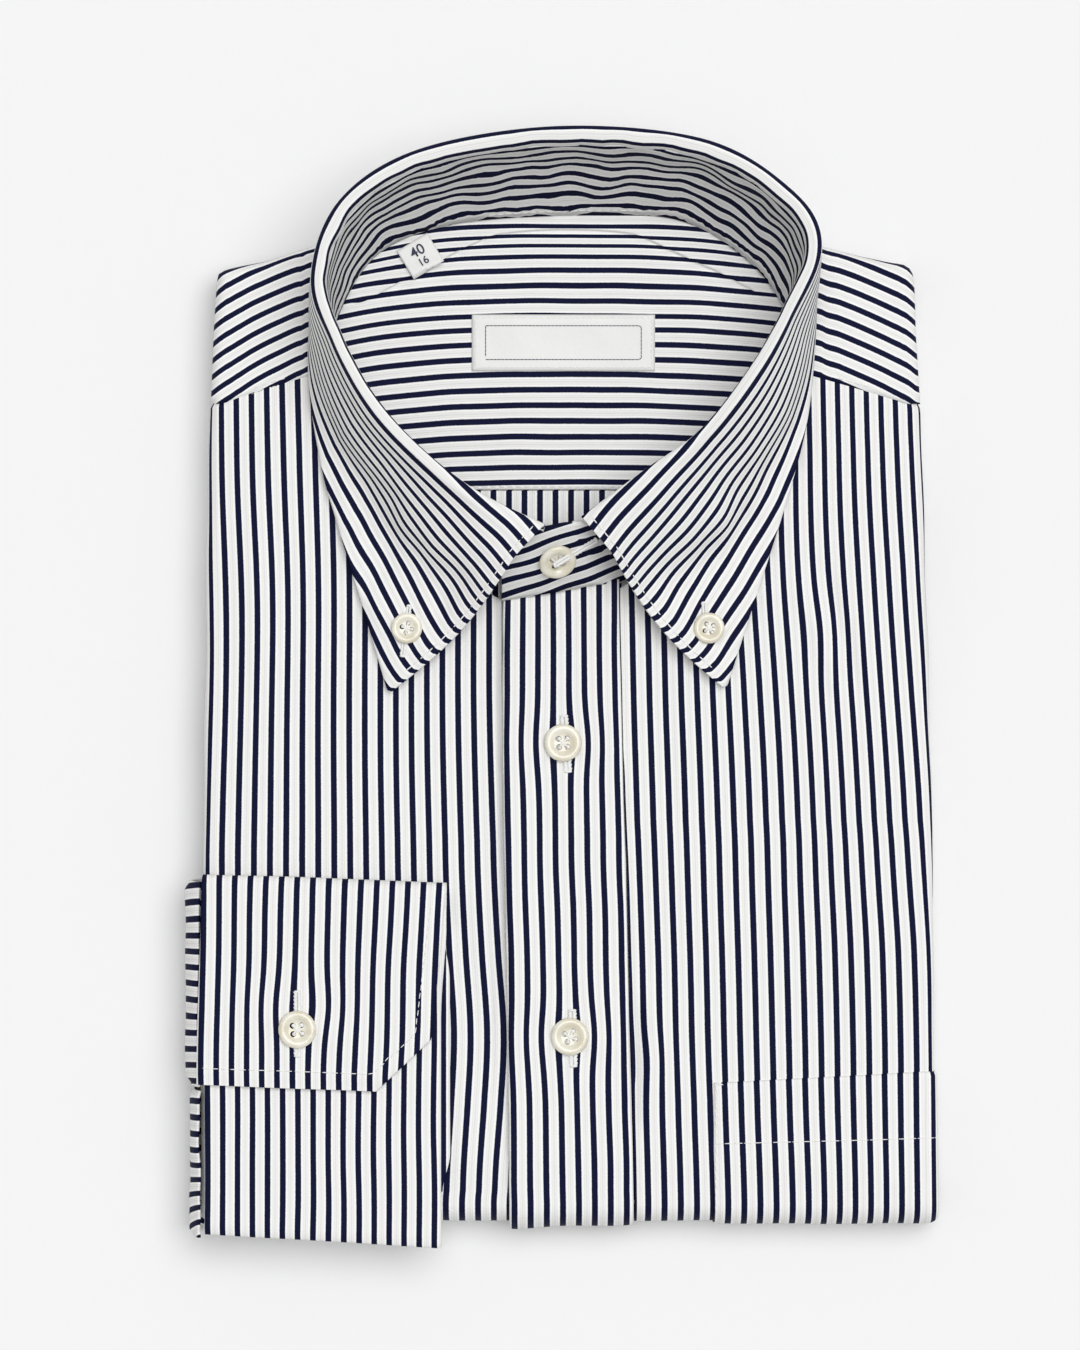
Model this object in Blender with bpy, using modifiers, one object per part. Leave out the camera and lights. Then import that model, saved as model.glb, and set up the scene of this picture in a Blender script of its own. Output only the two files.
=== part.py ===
"""A men's dress shirt folded into a packet, front up, with a standing button-down collar.

The packet lies on its back on z = 0, the collar towards +Y.  Outer cloth pieces are walls that
follow one packet surface; the folded layers inside them share one rounded, layered solid.
"""

import math

import bmesh
import bpy
from mathutils import Matrix, Vector

MM = 0.001

# Cloth and gaps
CLOTH = 1.2 * MM
COLLAR_CLOTH = 1.5 * MM
GAP = 0.35 * MM

# Packet: front surface height, side fold (upper lobe) and bottom fold
PACKET_HEIGHT = 22 * MM
SIDE_ROLL_REACH = 3.5 * MM
SIDE_ROLL_DEPTH = 9 * MM
BOTTOM_ROLL_REACH = 6 * MM
BOTTOM_EDGE_Y = -162 * MM
EDGE_SAG = 1.6 * MM
EDGE_SAG_WIDTH = 22 * MM
END_FOLD_TIGHTENS = 0.72

# Side edges of the packet in plan: a row per height up the shirt
SIDE_EDGES = [  # (y, left x, right x) in mm
    (-162, -110.4, 114.3),
    (-94, -110.2, 114.0),
    (-54, -109.8, 113.5),
    (-20, -109.3, 112.9),
    (42, -108.5, 111.3),
    (89, -107.5, 109.7),
    (130, -105.4, 107.8),
]

# Top edge of the packet in plan, left to right
TOP_EDGE = [  # (x, y) in mm
    (-106, 129.5),
    (-101.4, 130.2),
    (-90.7, 132.1),
    (-80, 135.6),
    (-76, 136.8),
    (-40, 150),
    (0, 152),
    (40, 150),
    (77, 137.5),
    (91.3, 133.8),
    (107, 130.8),
]

# How far round the side fold and the bottom fold the rows of the outer cloth lie, in degrees
SIDE_TURNS = (22, 48, 76, 106, 136, 162)
END_TURNS = (20, 45, 72, 100, 130, 160)
FRONT_LEVELS = 14
FRONT_COLUMNS = (0.0, 0.13, 0.27, 0.41, 0.52, 0.62, 0.7, 0.8, 0.9, 1.0)

# Where the fronts end at the top: half neckline, then the yoke seam out to the side
NECKLINE = [  # (distance from the middle, y) in mm
    (0, 26),
    (9, 25.5),
    (18, 27),
    (30, 35),
    (46, 49),
    (58, 65),
    (66, 84),
    (71, 96.8),
    (105, 87.4),
]

# Collar, a row per place from the left front end round the back to the right front end
COLLAR_ROWS = [  # (seam x, seam y, fold x, fold y, fold z, edge x, edge y, edge z) in mm
    (-9, 30.0, -5.0, 51.0, 42.0, -52.8, -0.6, 25.0),
    (-30, 42.0, -25.6, 61.2, 47.0, -60.0, 24.0, 25.0),
    (-48, 60.0, -42.6, 74.4, 51.0, -68.0, 50.0, 25.0),
    (-62, 82.0, -56.0, 89.5, 54.0, -73.5, 70.0, 25.0),
    (-69, 106.0, -66.3, 108.5, 56.5, -77.1, 95.0, 25.2),
    (-67, 117.5, -70.6, 125.0, 58.0, -75.9, 117.0, 25.2),
    (-55.5, 134.0, -62.5, 145.0, 58.0, -67.4, 139.5, 20.5),
    (-33.5, 142.5, -40.0, 158.6, 57.5, -45.5, 156.5, 14.0),
    (0, 145.2, 0.0, 164.8, 57.5, 0.0, 165.0, 12.0),
    (34, 144.3, 41.0, 161.2, 57.5, 47.0, 158.5, 14.0),
    (54.4, 133.5, 64.5, 148.0, 58.0, 68.8, 141.8, 20.5),
    (66.5, 119.5, 73.2, 134.0, 58.0, 77.0, 124.0, 25.2),
    (68.5, 108.0, 65.5, 114.5, 56.5, 76.9, 101.0, 25.2),
    (60, 86.0, 55.5, 97.0, 54.3, 74.3, 80.0, 25.0),
    (46, 64.0, 41.0, 79.0, 51.0, 68.0, 56.5, 25.0),
    (29, 45.0, 24.2, 67.0, 47.0, 58.5, 27.0, 25.0),
    (17.5, 34.5, 5.7, 53.3, 42.0, 50.0, 0.6, 25.0),
]
COLLAR_SIDE_ROWS = 8
COLLAR_STATIONS = 49
FOLD_RISE = 1.2 * MM

# Width of the fold's flat top, by collar row counted from each front end
FOLD_WIDTHS = [  # (row, width at the left, width at the right) in mm
    (0.0, 13.4, 14.5),
    (0.5, 9.4, 11.8),
    (1.0, 6.2, 9.3),
    (1.5, 4.8, 6.7),
    (2.0, 4.4, 4.8),
    (3.0, 4.4, 4.4),
    (4.5, 4.4, 4.4),
    (8.0, 4.8, 4.8),
]

# Where the leaf's cloth lies between its fold and its free edge, as shares seen in plan
LEAF_SPREAD = [  # (share of the cloth, at the front end, at row 1, row 2, row 3, the back)
    (0.0, 0.0, 0.0, 0.0, 0.0, 0.0),
    (0.15, 0.14, 0.136, 0.133, 0.15, 0.15),
    (0.3, 0.258, 0.28, 0.264, 0.3, 0.3),
    (0.45, 0.382, 0.397, 0.383, 0.44, 0.45),
    (0.6, 0.548, 0.504, 0.495, 0.565, 0.6),
    (0.75, 0.728, 0.672, 0.63, 0.655, 0.75),
    (0.9, 0.898, 0.876, 0.83, 0.83, 0.9),
    (1.0, 1.0, 1.0, 1.0, 1.0, 1.0),
]
LEAF_FLAT = 1.15
LEAF_LEAST_SLOPE = 0.02
LEAF_BULGE = 0.6 * MM
LEAF_INNER_OFFSET = 0.2 * MM
LEAF_LIP_RISE = 0.5 * MM
LEAF_LIP_REACH = 0.4 * MM
LEAF_END_BOW = 3 * MM

# Stand: how far its top stays under the fold, and its left end under the lapping right end
STAND_TOP_DROP = 5 * MM
STAND_END_DROP = 4 * MM
STAND_UNDER = 3 * MM
STAND_LEVELS = 3
STAND_FRONT = [  # (low x, low y, low z, high x, high y, high z) in mm, right to left
    (10, 32.8, 24.8, 3.5, 51.2, 39.3),
    (2, 31.2, 24.8, -2.0, 50.4, 39.4),
    (-8, 29.5, 24.8, -9.5, 48.2, 38.8),
    (-18.2, 27.9, 24.8, -18.2, 42.5, 36.0),
]

# Outer yoke: its front seam, its share of the collar, and its rows from collar to edge
YOKE_SEAM_EDGE_Y = 88 * MM
YOKE_SIDE_Y = 110 * MM
YOKE_COLLAR_START = 0.229
YOKE_COLLAR_END = 0.778
YOKE_COLLAR_ROOM = 3.3 * MM
YOKE_STATIONS = 33
YOKE_ROWS = (0.0, 0.12, 0.42, 0.75, 1.0)
YOKE_TURN_START_Y = 122 * MM
YOKE_TURN_END_Y = 136 * MM
TOP_FOLD_REACH = 2.4 * MM
TOP_FOLD_DEPTH = 20.5 * MM
NECK_CENTRE_Y = 100 * MM

# Inside of the neck: hem between inner yoke and back, and the neck seam's sides
INNER_YOKE_HEM_Y = 62 * MM
INNER_YOKE_TOP_Y = 144 * MM
BACK_LOW_Y = 34 * MM
INSIDE_DROP = 2.2 * MM
NECK_SIDES = [  # (y, left x, right x) in mm
    (34, -17, 17),
    (42, -29.5, 26),
    (54, -43, 37.5),
    (62, -49, 44),
    (74, -57, 52.5),
    (90, -64, 61),
    (106, -68.5, 67.5),
    (117, -67, 67),
    (127, -61, 60),
    (134, -55, 54),
    (139, -44, 45),
    (142, -33, 37),
    (144, -14, 18),
]
NECK_LEVELS = 13
BACK_LEVELS = 4
NECK_COLUMNS = (0.0, 0.08, 0.2, 0.35, 0.5, 0.65, 0.8, 0.92, 1.0)

# Front placket
PLACKET_EDGES = [  # (y, left x, right x) in mm
    (-162, -15.6, 22.0),
    (-124, -16.0, 21.3),
    (-94, -16.5, 20.4),
    (-51, -17.4, 19.5),
    (-33, -17.9, 18.8),
    (0, -18.0, 18.1),
    (28, -17.9, 17.5),
]
PLACKET_RISE = 1.7 * MM
PLACKET_TOP_LEFT_Y = 25.8 * MM
PLACKET_TOP_RIGHT_Y = 30.5 * MM
UNDERLAP = 9 * MM

PLACKET_LEVELS = 13
PLACKET_COLUMNS = (0.0, 0.33, 0.67, 1.0)

# Pocket on the left front
POCKET_LEFT_X = 46 * MM
POCKET_TOP_LEFT_Y = -119 * MM
POCKET_TOP_RIGHT_Y = -115.5 * MM
POCKET_CLOTH = 1.0 * MM
POCKET_LIFT = 1.55 * MM
POCKET_LEVELS = 4
POCKET_COLUMNS = (0.0, 0.25, 0.5, 0.75, 1.0)

# Cuff: flattened loop that lies over the lower right front, sleeve end at the left
CUFF_LEFT_X = -109 * MM
CUFF_RIGHT_X = -35 * MM
CUFF_TOP_Y = -57.8 * MM
CUFF_BOTTOM_Y = -169.0 * MM
CUFF_TILT = 0.036
CUFF_CLOTH = 1.5 * MM
CUFF_REST = 0.6 * MM
CUFF_LAYER_PITCH = 2.6 * MM
CUFF_FOLD_REACH = 4 * MM
CUFF_LAP_END_Y = -122 * MM
CUFF_UNDER_END_Y = -65 * MM
CUFF_CORNER = 17 * MM
CUFF_TAPER = 4.3 * MM
CUFF_TAPER_TOP_Y = -60 * MM
CUFF_TAPER_LOW_Y = -105 * MM
CUFF_LAP_ROWS = (0.0, 0.12, 0.28, 0.52, 0.76, 1.0)
CUFF_ROWS = (0.0, 0.33, 0.67, 1.0)
CUFF_COLUMNS = (0.0, 0.25, 0.5, 0.75, 1.0)
CUFF_FOLD_TURNS = (35, 70, 110, 145)

# Sleeve where it wraps the packet's left side
SLEEVE_CLOTH = 1.2 * MM
SLEEVE_INNER_X = -110.2 * MM
SLEEVE_TOP_Y = -57.5 * MM
SLEEVE_BOTTOM_Y = -166 * MM
SLEEVE_OUT_UPPER = -115.4 * MM
SLEEVE_OUT_LOWER = -114.2 * MM
SLEEVE_BREAK_Y = -120.5 * MM
SLEEVE_STATIONS = 12
SLEEVE_SECTION = [  # (share of the way out, z in mm), from under the packet up to the cuff
    (0.32, 0.4),
    (0.6, 1.4),
    (0.9, 4.5),
    (1.0, 9),
    (1.0, 15),
    (0.88, 20.5),
    (0.56, 24.8),
    (0.3, 27),
]

# Folded layers inside the packet: room for the cloth folded round its ends, and the side
END_FOLD_ROOM = 5.4 * MM
LAYER_CORNER = 4 * MM
SHOULDER_Y = 130 * MM
LAYER_SIDE_STEPS = 9
LAYER_PROFILE = [  # (height, how far inside the packet's edge) in mm
    (0.0, 7.5),
    (0.7, 4.6),
    (2.4, 2.6),
    (5.0, 1.9),
    (7.4, 2.6),
    (8.5, 4.4),
    (9.3, 3.0),
    (11.0, 2.3),
    (12.3, 3.6),
    (12.7, 5.2),
    (14.6, 5.2),
]
LAYER_TOP = [  # (height in the middle, how far inside the packet's edge) in mm
    (16.2, 5.4),
    (17.4, 7.0),
    (17.8, 12.0),
    (17.8, 40.0),
]

# Buttons, each with four sewing holes
BUTTON_BIG = 11.5 * MM
BUTTON_SMALL = 9.4 * MM
BUTTONS = [  # (name, centre in mm, diameter, tilt forward and turn in degrees)
    ("placket_button_1", (0.4, -15.3, 24.1), BUTTON_BIG, 0.0, 3.0),
    ("placket_button_2", (2.5, -104.8, 24.1), BUTTON_BIG, 0.0, 18.0),
    ("collar_stand_button", (-1.4, 40.0, 32.6), BUTTON_BIG, 36.0, 20.0),
    ("collar_point_button_left", (-47.1, 19.6, 27.0), BUTTON_SMALL, 0.0, 30.0),
    ("collar_point_button_right", (44.8, 19.6, 27.0), BUTTON_SMALL, 0.0, -12.0),
    ("cuff_button", (-80.3, -102.3, 29.9), BUTTON_BIG, 0.0, 4.0),
]
BUTTON_SIDES = 18
BUTTON_HOLE_SIDES = 6
BUTTON_HOLE_RADIUS = 0.85 * MM
BUTTON_HOLE_OFFSET = 1.7 * MM
BUTTON_HOLE_DEPTH = 6 * MM
BUTTON_PROFILE = [  # (share of the radius, height in mm), from the top centre out and under
    (0.0, 1.0),
    (0.52, 1.0),
    (0.66, 1.35),
    (0.84, 1.7),
    (0.97, 1.3),
    (1.0, 0.7),
    (0.85, 0.0),
    (0.0, -0.1),
]

# Labels inside the neck
LABEL_CLOTH = 0.9 * MM
LABEL_SIZE = (55.9 * MM, 17.0 * MM)
LABEL_CENTRE = (0.5 * MM, 106.8 * MM)
TAB_SIZE = (10.4 * MM, 9.4 * MM)
TAB_CENTRE = (-42.2 * MM, 131.6 * MM)
TAB_TURN = 31
TAB_LIFT = 0.6 * MM

# Base colours
WHITE_COTTON = (0.86, 0.86, 0.84, 1.0)
SHADED_COTTON = (0.7, 0.7, 0.7, 1.0)
NAVY_STRIPE = (0.42, 0.44, 0.52, 1.0)
PEARL = (0.78, 0.72, 0.58, 1.0)
LABEL_WHITE = (0.92, 0.92, 0.9, 1.0)


def lookup(rows, key, column):
    """Read a column of a table of rising keys (mm) by straight lines between its rows."""
    if key <= rows[0][0]:
        return rows[0][column]
    for low, high in zip(rows, rows[1:]):
        if key <= high[0]:
            share = (key - low[0]) / (high[0] - low[0])
            return low[column] + (high[column] - low[column]) * share
    return rows[-1][column]


def smooth_curve(points, share):
    """A point on the Catmull-Rom curve through the points, share 0 to 1 end to end."""
    last = len(points) - 1
    place = min(max(share, 0.0), 1.0) * last
    index = min(int(place), last - 1)
    t = place - index
    before = points[max(index - 1, 0)]
    start = points[index]
    end = points[index + 1]
    after = points[min(index + 2, last)]
    return tuple(
        0.5
        * (
            2 * b
            + (c - a) * t
            + (2 * a - 5 * b + 4 * c - d) * t * t
            + (3 * b - a - 3 * c + d) * t * t * t
        )
        for a, b, c, d in zip(before, start, end, after)
    )


def ease(low, high, value):
    """Smooth step from 0 at low to 1 at high."""
    share = min(max((value - low) / (high - low), 0.0), 1.0)
    return share * share * (3 - 2 * share)


def left_edge(y):
    return lookup(SIDE_EDGES, y / MM, 1) * MM


def right_edge(y):
    return lookup(SIDE_EDGES, y / MM, 2) * MM


def top_edge(x):
    return lookup(TOP_EDGE, x / MM, 1) * MM


def front_height(x, y):
    """Height of the front's outer surface: flat, with a soft sag towards the edges."""
    side = min(x - left_edge(y), right_edge(y) - x)
    end = min(top_edge(x) - y, y - BOTTOM_EDGE_Y)
    near = min(max(side, 0.0), max(end, 0.0))
    sag = EDGE_SAG * (1 - ease(0, EDGE_SAG_WIDTH, near))
    return PACKET_HEIGHT - sag


def packet_point(x, y, side_turn=0.0, end_turn=0.0, lift=0.0):
    """A point of the packet's outer surface, moved out by lift.

    x and y are the place in plan.  side_turn is how far round the side fold it is, in radians,
    with the sign of its side, and end_turn how far round the bottom fold.
    """
    side = 1 if side_turn > 0 else -1
    turn = abs(side_turn)
    tighter = 1 - END_FOLD_TIGHTENS * math.sin(min(end_turn, math.pi / 2))
    if turn > 0:
        edge = right_edge(y) if side > 0 else left_edge(y)
        out = (SIDE_ROLL_REACH + lift) * math.sin(turn)
        x = edge - side * SIDE_ROLL_REACH + side * out
    depth = (SIDE_ROLL_DEPTH / 2 * tighter + lift) * (1 - math.cos(turn)) - lift
    base = BOTTOM_EDGE_Y + BOTTOM_ROLL_REACH
    height = front_height(x, max(y, base))
    if end_turn <= 0:
        return Vector((x, y, height - depth))
    half = height / 2
    y = base - (BOTTOM_ROLL_REACH - depth) * math.sin(end_turn)
    z = half + (half - depth) * math.cos(end_turn)
    return Vector((x, y, z))


def make_material(name, colour, roughness):
    material = bpy.data.materials.new(name)
    material.use_nodes = True
    shader = material.node_tree.nodes["Principled BSDF"]
    shader.inputs["Base Color"].default_value = colour
    shader.inputs["Roughness"].default_value = roughness
    shader.inputs["Metallic"].default_value = 0.0
    return material


def add_object(name, mesh, material, collection):
    mesh.materials.append(material)
    mesh.shade_smooth()
    obj = bpy.data.objects.new(name, mesh)
    collection.objects.link(obj)
    return obj


def wall(name, rows, thickness, material, collection):
    """A cloth wall: rows of points on its outer side, thickened inwards.

    Rows run so that the outer side is seen with the points left to right and the rows upward.
    """
    count = len(rows[0])
    faces = []
    for r in range(len(rows) - 1):
        for c in range(count - 1):
            low = r * count + c
            faces.append((low, low + 1, low + count + 1, low + count))
    mesh = bpy.data.meshes.new(name)
    mesh.from_pydata([tuple(point) for row in rows for point in row], [], faces)
    mesh.update()
    obj = add_object(name, mesh, material, collection)
    solid = obj.modifiers.new("Cloth", "SOLIDIFY")
    solid.thickness = thickness
    solid.offset = -1.0
    return obj


def ring_solid(name, rings, material, collection):
    """A closed solid through stacked rings, with a flat underside and a domed top."""
    shape = bmesh.new()
    loops = [[shape.verts.new(p) for p in ring] for ring in rings]
    count = len(loops[0])
    for low, high in zip(loops, loops[1:]):
        for i in range(count):
            j = (i + 1) % count
            shape.faces.new((low[i], low[j], high[j], high[i]))
    shape.faces.new(list(reversed(loops[0])))
    centre = shape.verts.new(sum((v.co for v in loops[-1]), Vector()) / count)
    for i in range(count):
        shape.faces.new((loops[-1][i], loops[-1][(i + 1) % count], centre))
    mesh = bpy.data.meshes.new(name)
    shape.to_mesh(mesh)
    shape.free()
    return add_object(name, mesh, material, collection)


# ---- collar lines -------------------------------------------------------------------------


def collar_row(share):
    """Seam, fold and leaf edge points at a share of the way round the collar."""
    row = smooth_curve(COLLAR_ROWS, share)
    seam = Vector((row[0] * MM, row[1] * MM, 0))
    seam.z = front_height(seam.x, seam.y) - CLOTH
    fold = Vector(row[2:5]) * MM
    edge = Vector(row[5:8]) * MM
    return seam, fold, edge


def steps(count):
    """Shares from 0 to 1 in that many steps."""
    return [i / count for i in range(count + 1)]


def fold_steps(turns, levels):
    """(share up, turn round the bottom fold) for each row of a piece, from under the fold up."""
    rows = [(0.0, math.radians(turn)) for turn in reversed(turns)]
    return rows + [(share, 0.0) for share in steps(levels)]


# ---- pieces -------------------------------------------------------------------------------


def front_panel(name, side, inner, material, collection):
    """A front panel from the placket to the side fold, down round the bottom fold."""
    base_y = BOTTOM_EDGE_Y + BOTTOM_ROLL_REACH
    columns = [(offset, 0.0) for offset in FRONT_COLUMNS]
    columns += [(1.0, math.radians(turn)) for turn in SIDE_TURNS]
    widest = NECKLINE[-1][0] * MM
    grid = []
    for share, end_turn in fold_steps(END_TURNS, FRONT_LEVELS):
        line = []
        for offset, side_turn in columns:
            start = inner(base_y)
            plan_x = start + (side * widest - start) * offset
            top = lookup(NECKLINE, abs(plan_x) / MM, 1) * MM
            y = base_y + (top - base_y) * share
            edge = (right_edge(y) if side > 0 else left_edge(y)) - side * SIDE_ROLL_REACH
            x = inner(y) + (edge - inner(y)) * offset
            line.append(packet_point(x, y, side * side_turn, end_turn))
        grid.append(line if side > 0 else list(reversed(line)))
    return wall(name, grid, CLOTH, material, collection)


def make_fronts(materials, collection):
    def right_inner(y):
        return lookup(PLACKET_EDGES, y / MM, 1) * MM + UNDERLAP

    def left_inner(y):
        return lookup(PLACKET_EDGES, y / MM, 2) * MM + GAP

    front_panel("right_front", -1, right_inner, materials["stripe"], collection)
    front_panel("left_front", 1, left_inner, materials["stripe"], collection)


def make_placket(materials, collection):
    """The placket lies over the right front's inner edge and goes on round the bottom fold."""
    base_y = BOTTOM_EDGE_Y + BOTTOM_ROLL_REACH
    rows = []
    for share, turn in fold_steps(END_TURNS[:5], PLACKET_LEVELS):
        line = []
        for across in PLACKET_COLUMNS:
            top = PLACKET_TOP_LEFT_Y + (PLACKET_TOP_RIGHT_Y - PLACKET_TOP_LEFT_Y) * across
            y = base_y + (top - base_y) * share
            left = lookup(PLACKET_EDGES, y / MM, 1) * MM
            right = lookup(PLACKET_EDGES, y / MM, 2) * MM
            x = left + (right - left) * across
            line.append(packet_point(x, y, 0.0, turn, PLACKET_RISE))
        rows.append(line)
    wall("placket", rows, CLOTH, materials["stripe"], collection)


def make_pocket(materials, collection):
    """The pocket lies on the left front and goes on round the side and bottom folds."""
    base_y = BOTTOM_EDGE_Y + BOTTOM_ROLL_REACH
    columns = [(across, 0.0) for across in POCKET_COLUMNS]
    columns += [(1.0, math.radians(turn)) for turn in SIDE_TURNS[:5]]
    rows = []
    for share, turn in fold_steps(END_TURNS[:4], POCKET_LEVELS):
        line = []
        for across, side_turn in columns:
            top = POCKET_TOP_LEFT_Y + (POCKET_TOP_RIGHT_Y - POCKET_TOP_LEFT_Y) * across
            y = base_y + (top - base_y) * share
            edge = right_edge(y) - SIDE_ROLL_REACH
            x = POCKET_LEFT_X + (edge - POCKET_LEFT_X) * across
            line.append(packet_point(x, y, side_turn, turn, POCKET_LIFT))
        rows.append(line)
    wall("pocket", rows, POCKET_CLOTH, materials["stripe"], collection)


def yoke_outline():
    """Plan points along the outer yoke's edge, and the way to each of them."""
    seam_y = YOKE_SEAM_EDGE_Y + GAP
    outline = [Vector((left_edge(seam_y), seam_y, 0))]
    outline.append(Vector((left_edge(YOKE_SIDE_Y), YOKE_SIDE_Y, 0)))
    outline += [Vector((x * MM, y * MM, 0)) for x, y in TOP_EDGE]
    outline.append(Vector((right_edge(YOKE_SIDE_Y), YOKE_SIDE_Y, 0)))
    outline.append(Vector((right_edge(seam_y), seam_y, 0)))
    ways = [0.0]
    for a, b in zip(outline, outline[1:]):
        ways.append(ways[-1] + (b - a).length)
    return outline, ways


def make_outer_yoke(materials, collection):
    """The outer yoke: from the neck seam out over the shoulders and down round the top edge."""
    outline, ways = yoke_outline()
    columns = []
    for share in steps(YOKE_STATIONS - 1):
        round_collar = YOKE_COLLAR_START + (YOKE_COLLAR_END - YOKE_COLLAR_START) * share
        seam = collar_row(round_collar)[0]
        way = share * ways[-1]
        k = max(j for j in range(len(outline) - 1) if ways[j] <= way)
        edge = outline[k].lerp(outline[k + 1], (way - ways[k]) / (ways[k + 1] - ways[k]))
        along = outline[k + 1] - outline[k]
        normal = Vector((-along.y, along.x, 0)).normalized()
        behind = ease(YOKE_TURN_START_Y, YOKE_TURN_END_Y, edge.y)
        reach = SIDE_ROLL_REACH + (TOP_FOLD_REACH - SIDE_ROLL_REACH) * behind
        depth = SIDE_ROLL_DEPTH + (TOP_FOLD_DEPTH - SIDE_ROLL_DEPTH) * behind
        away = Vector((seam.x, seam.y - NECK_CENTRE_Y, 0)).normalized()
        start = Vector((seam.x, seam.y, 0)) + away * YOKE_COLLAR_ROOM
        rim = edge - normal * reach
        column = []
        for share_out in YOKE_ROWS:
            p = start.lerp(rim, share_out)
            column.append(Vector((p.x, p.y, front_height(p.x, p.y))))
        top = column[-1].z
        for turn in SIDE_TURNS:
            angle = math.radians(turn)
            p = rim + normal * reach * math.sin(angle)
            column.append(Vector((p.x, p.y, top - depth / 2 * (1 - math.cos(angle)))))
        columns.append(column)
    rows = [[column[r] for column in columns] for r in range(len(columns[0]))]
    wall("yoke_outer", rows, CLOTH, materials["stripe"], collection)


def inside_height(x, y):
    return front_height(x, y) - INSIDE_DROP


def neck_row(y):
    """A row of points across the inside of the neck, from side to side."""
    left = lookup(NECK_SIDES, y / MM, 1) * MM
    right = lookup(NECK_SIDES, y / MM, 2) * MM
    xs = [left + (right - left) * share for share in NECK_COLUMNS]
    return [Vector((x, y, inside_height(x, y))) for x in xs]


def make_neck_inside(materials, collection):
    """The inner yoke and, below it, the little of the inside back that shows."""
    rows = []
    for share in steps(NECK_LEVELS):
        rise = (INNER_YOKE_TOP_Y - INNER_YOKE_HEM_Y) * math.sin(math.pi / 2 * share)
        rows.append(neck_row(INNER_YOKE_HEM_Y + rise))
    wall("yoke_inner", rows, CLOTH, materials["shade"], collection)
    top = INNER_YOKE_HEM_Y - GAP
    rows = [neck_row(BACK_LOW_Y + (top - BACK_LOW_Y) * share) for share in steps(BACK_LEVELS)]
    wall("back_panel", rows, CLOTH, materials["shade"], collection)


def collar_frame(share):
    """Seam and fold of the collar with the direction out of the ring."""
    seam, fold, edge = collar_row(share)
    step = 0.004
    after = collar_row(min(share + step, 1.0))[1]
    before = collar_row(max(share - step, 0.0))[1]
    along = (after - before).normalized()
    out = Vector((-along.y, along.x, 0)).normalized()
    return seam, fold, edge, out


def make_stand(materials, collection):
    """The stand: a band from the neck seam up to just under the fold.

    Its left end lies under its right end, which laps over the front.
    """
    columns = []
    for share in steps(COLLAR_STATIONS - 1):
        seam, fold, edge, out = collar_frame(share)
        under = 1 - ease(0.0, 0.1, share)
        rise = fold - seam
        drop = STAND_TOP_DROP + STAND_END_DROP * under
        top = seam + rise * (1 - drop / rise.length)
        foot = seam + Vector((0, 0, 2 * GAP))
        shift = Vector((0, STAND_UNDER * under, 0))
        columns.append([foot.lerp(top, up) + shift for up in steps(STAND_LEVELS)])
    for low_x, low_y, low_z, high_x, high_y, high_z in STAND_FRONT:
        low = Vector((low_x, low_y, low_z)) * MM
        high = Vector((high_x, high_y, high_z)) * MM
        columns.append([low.lerp(high, up) for up in steps(STAND_LEVELS)])
    rows = [[column[r] for column in reversed(columns)] for r in range(STAND_LEVELS + 1)]
    wall("collar_stand", rows, COLLAR_CLOTH, materials["shade"], collection)


def leaf_spread(place):
    """(plan share, drop share) of the leaf's cloth at a collar row counted from the front end.

    The cloth is steep where it is crowded in plan and level where it is spread out.
    """
    column = min(int(place), 3)
    blend = min(place - column, 1.0)
    plans = []
    for row in LEAF_SPREAD:
        plans.append(row[1 + column] + (row[2 + column] - row[1 + column]) * blend)
    lengths = [high[0] - low[0] for low, high in zip(LEAF_SPREAD, LEAF_SPREAD[1:])]
    spreads = [(b - a) / length for a, b, length in zip(plans, plans[1:], lengths)]
    widest = max(spreads)
    drops = [0.0]
    for spread, length in zip(spreads, lengths):
        level = min(LEAF_FLAT * spread / widest, 1.0)
        slope = math.sqrt(1 - level * level) + LEAF_LEAST_SLOPE
        drops.append(drops[-1] + slope * length)
    return [(plan, drop / drops[-1]) for plan, drop in zip(plans, drops)]


def leaf_section(share):
    """Points of the leaf's outer side from inside the neck, over the fold, to the free edge."""
    seam, fold, edge, out = collar_frame(share)
    side = 1 if share > 0.5 else -1
    front = abs(2 * share - 1)
    place = (1 - front) * COLLAR_SIDE_ROWS
    toward_front = ease(0.5, 0.9, front)
    down = (seam - fold).normalized()
    across = Vector((edge.x - fold.x, edge.y - fold.y, 0)).normalized()
    across = out.lerp(across, toward_front).normalized()
    width = lookup(FOLD_WIDTHS, place, 2 if side > 0 else 1) * MM
    points = []
    points.append(fold + down * (STAND_TOP_DROP - GAP) - out * LEAF_INNER_OFFSET)
    points.append(fold + Vector((0, 0, LEAF_LIP_RISE)) + across * LEAF_LIP_REACH)
    points.append(fold + Vector((0, 0, FOLD_RISE)) + across * width / 2)
    start = fold + across * width - Vector((0, 0, FOLD_RISE / 2))
    forward = Vector((across.y, -across.x, 0)) * side
    bow = LEAF_END_BOW * ease(0.82, 1.0, front)
    bulge = LEAF_BULGE * (1 - toward_front)
    for plan, drop in leaf_spread(place):
        p = start.lerp(edge, plan)
        p.z = start.z + (edge.z - start.z) * drop
        rounded = math.sin(math.pi * plan)
        points.append(p + forward * bow * rounded + out * bulge * rounded)
    return points


def make_leaf(materials, collection):
    columns = [leaf_section(share) for share in reversed(steps(COLLAR_STATIONS - 1))]
    rows = [[column[r] for column in columns] for r in range(len(columns[0]))]
    rows.reverse()
    wall("collar_leaf", rows, COLLAR_CLOTH, materials["stripe"], collection)


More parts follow.
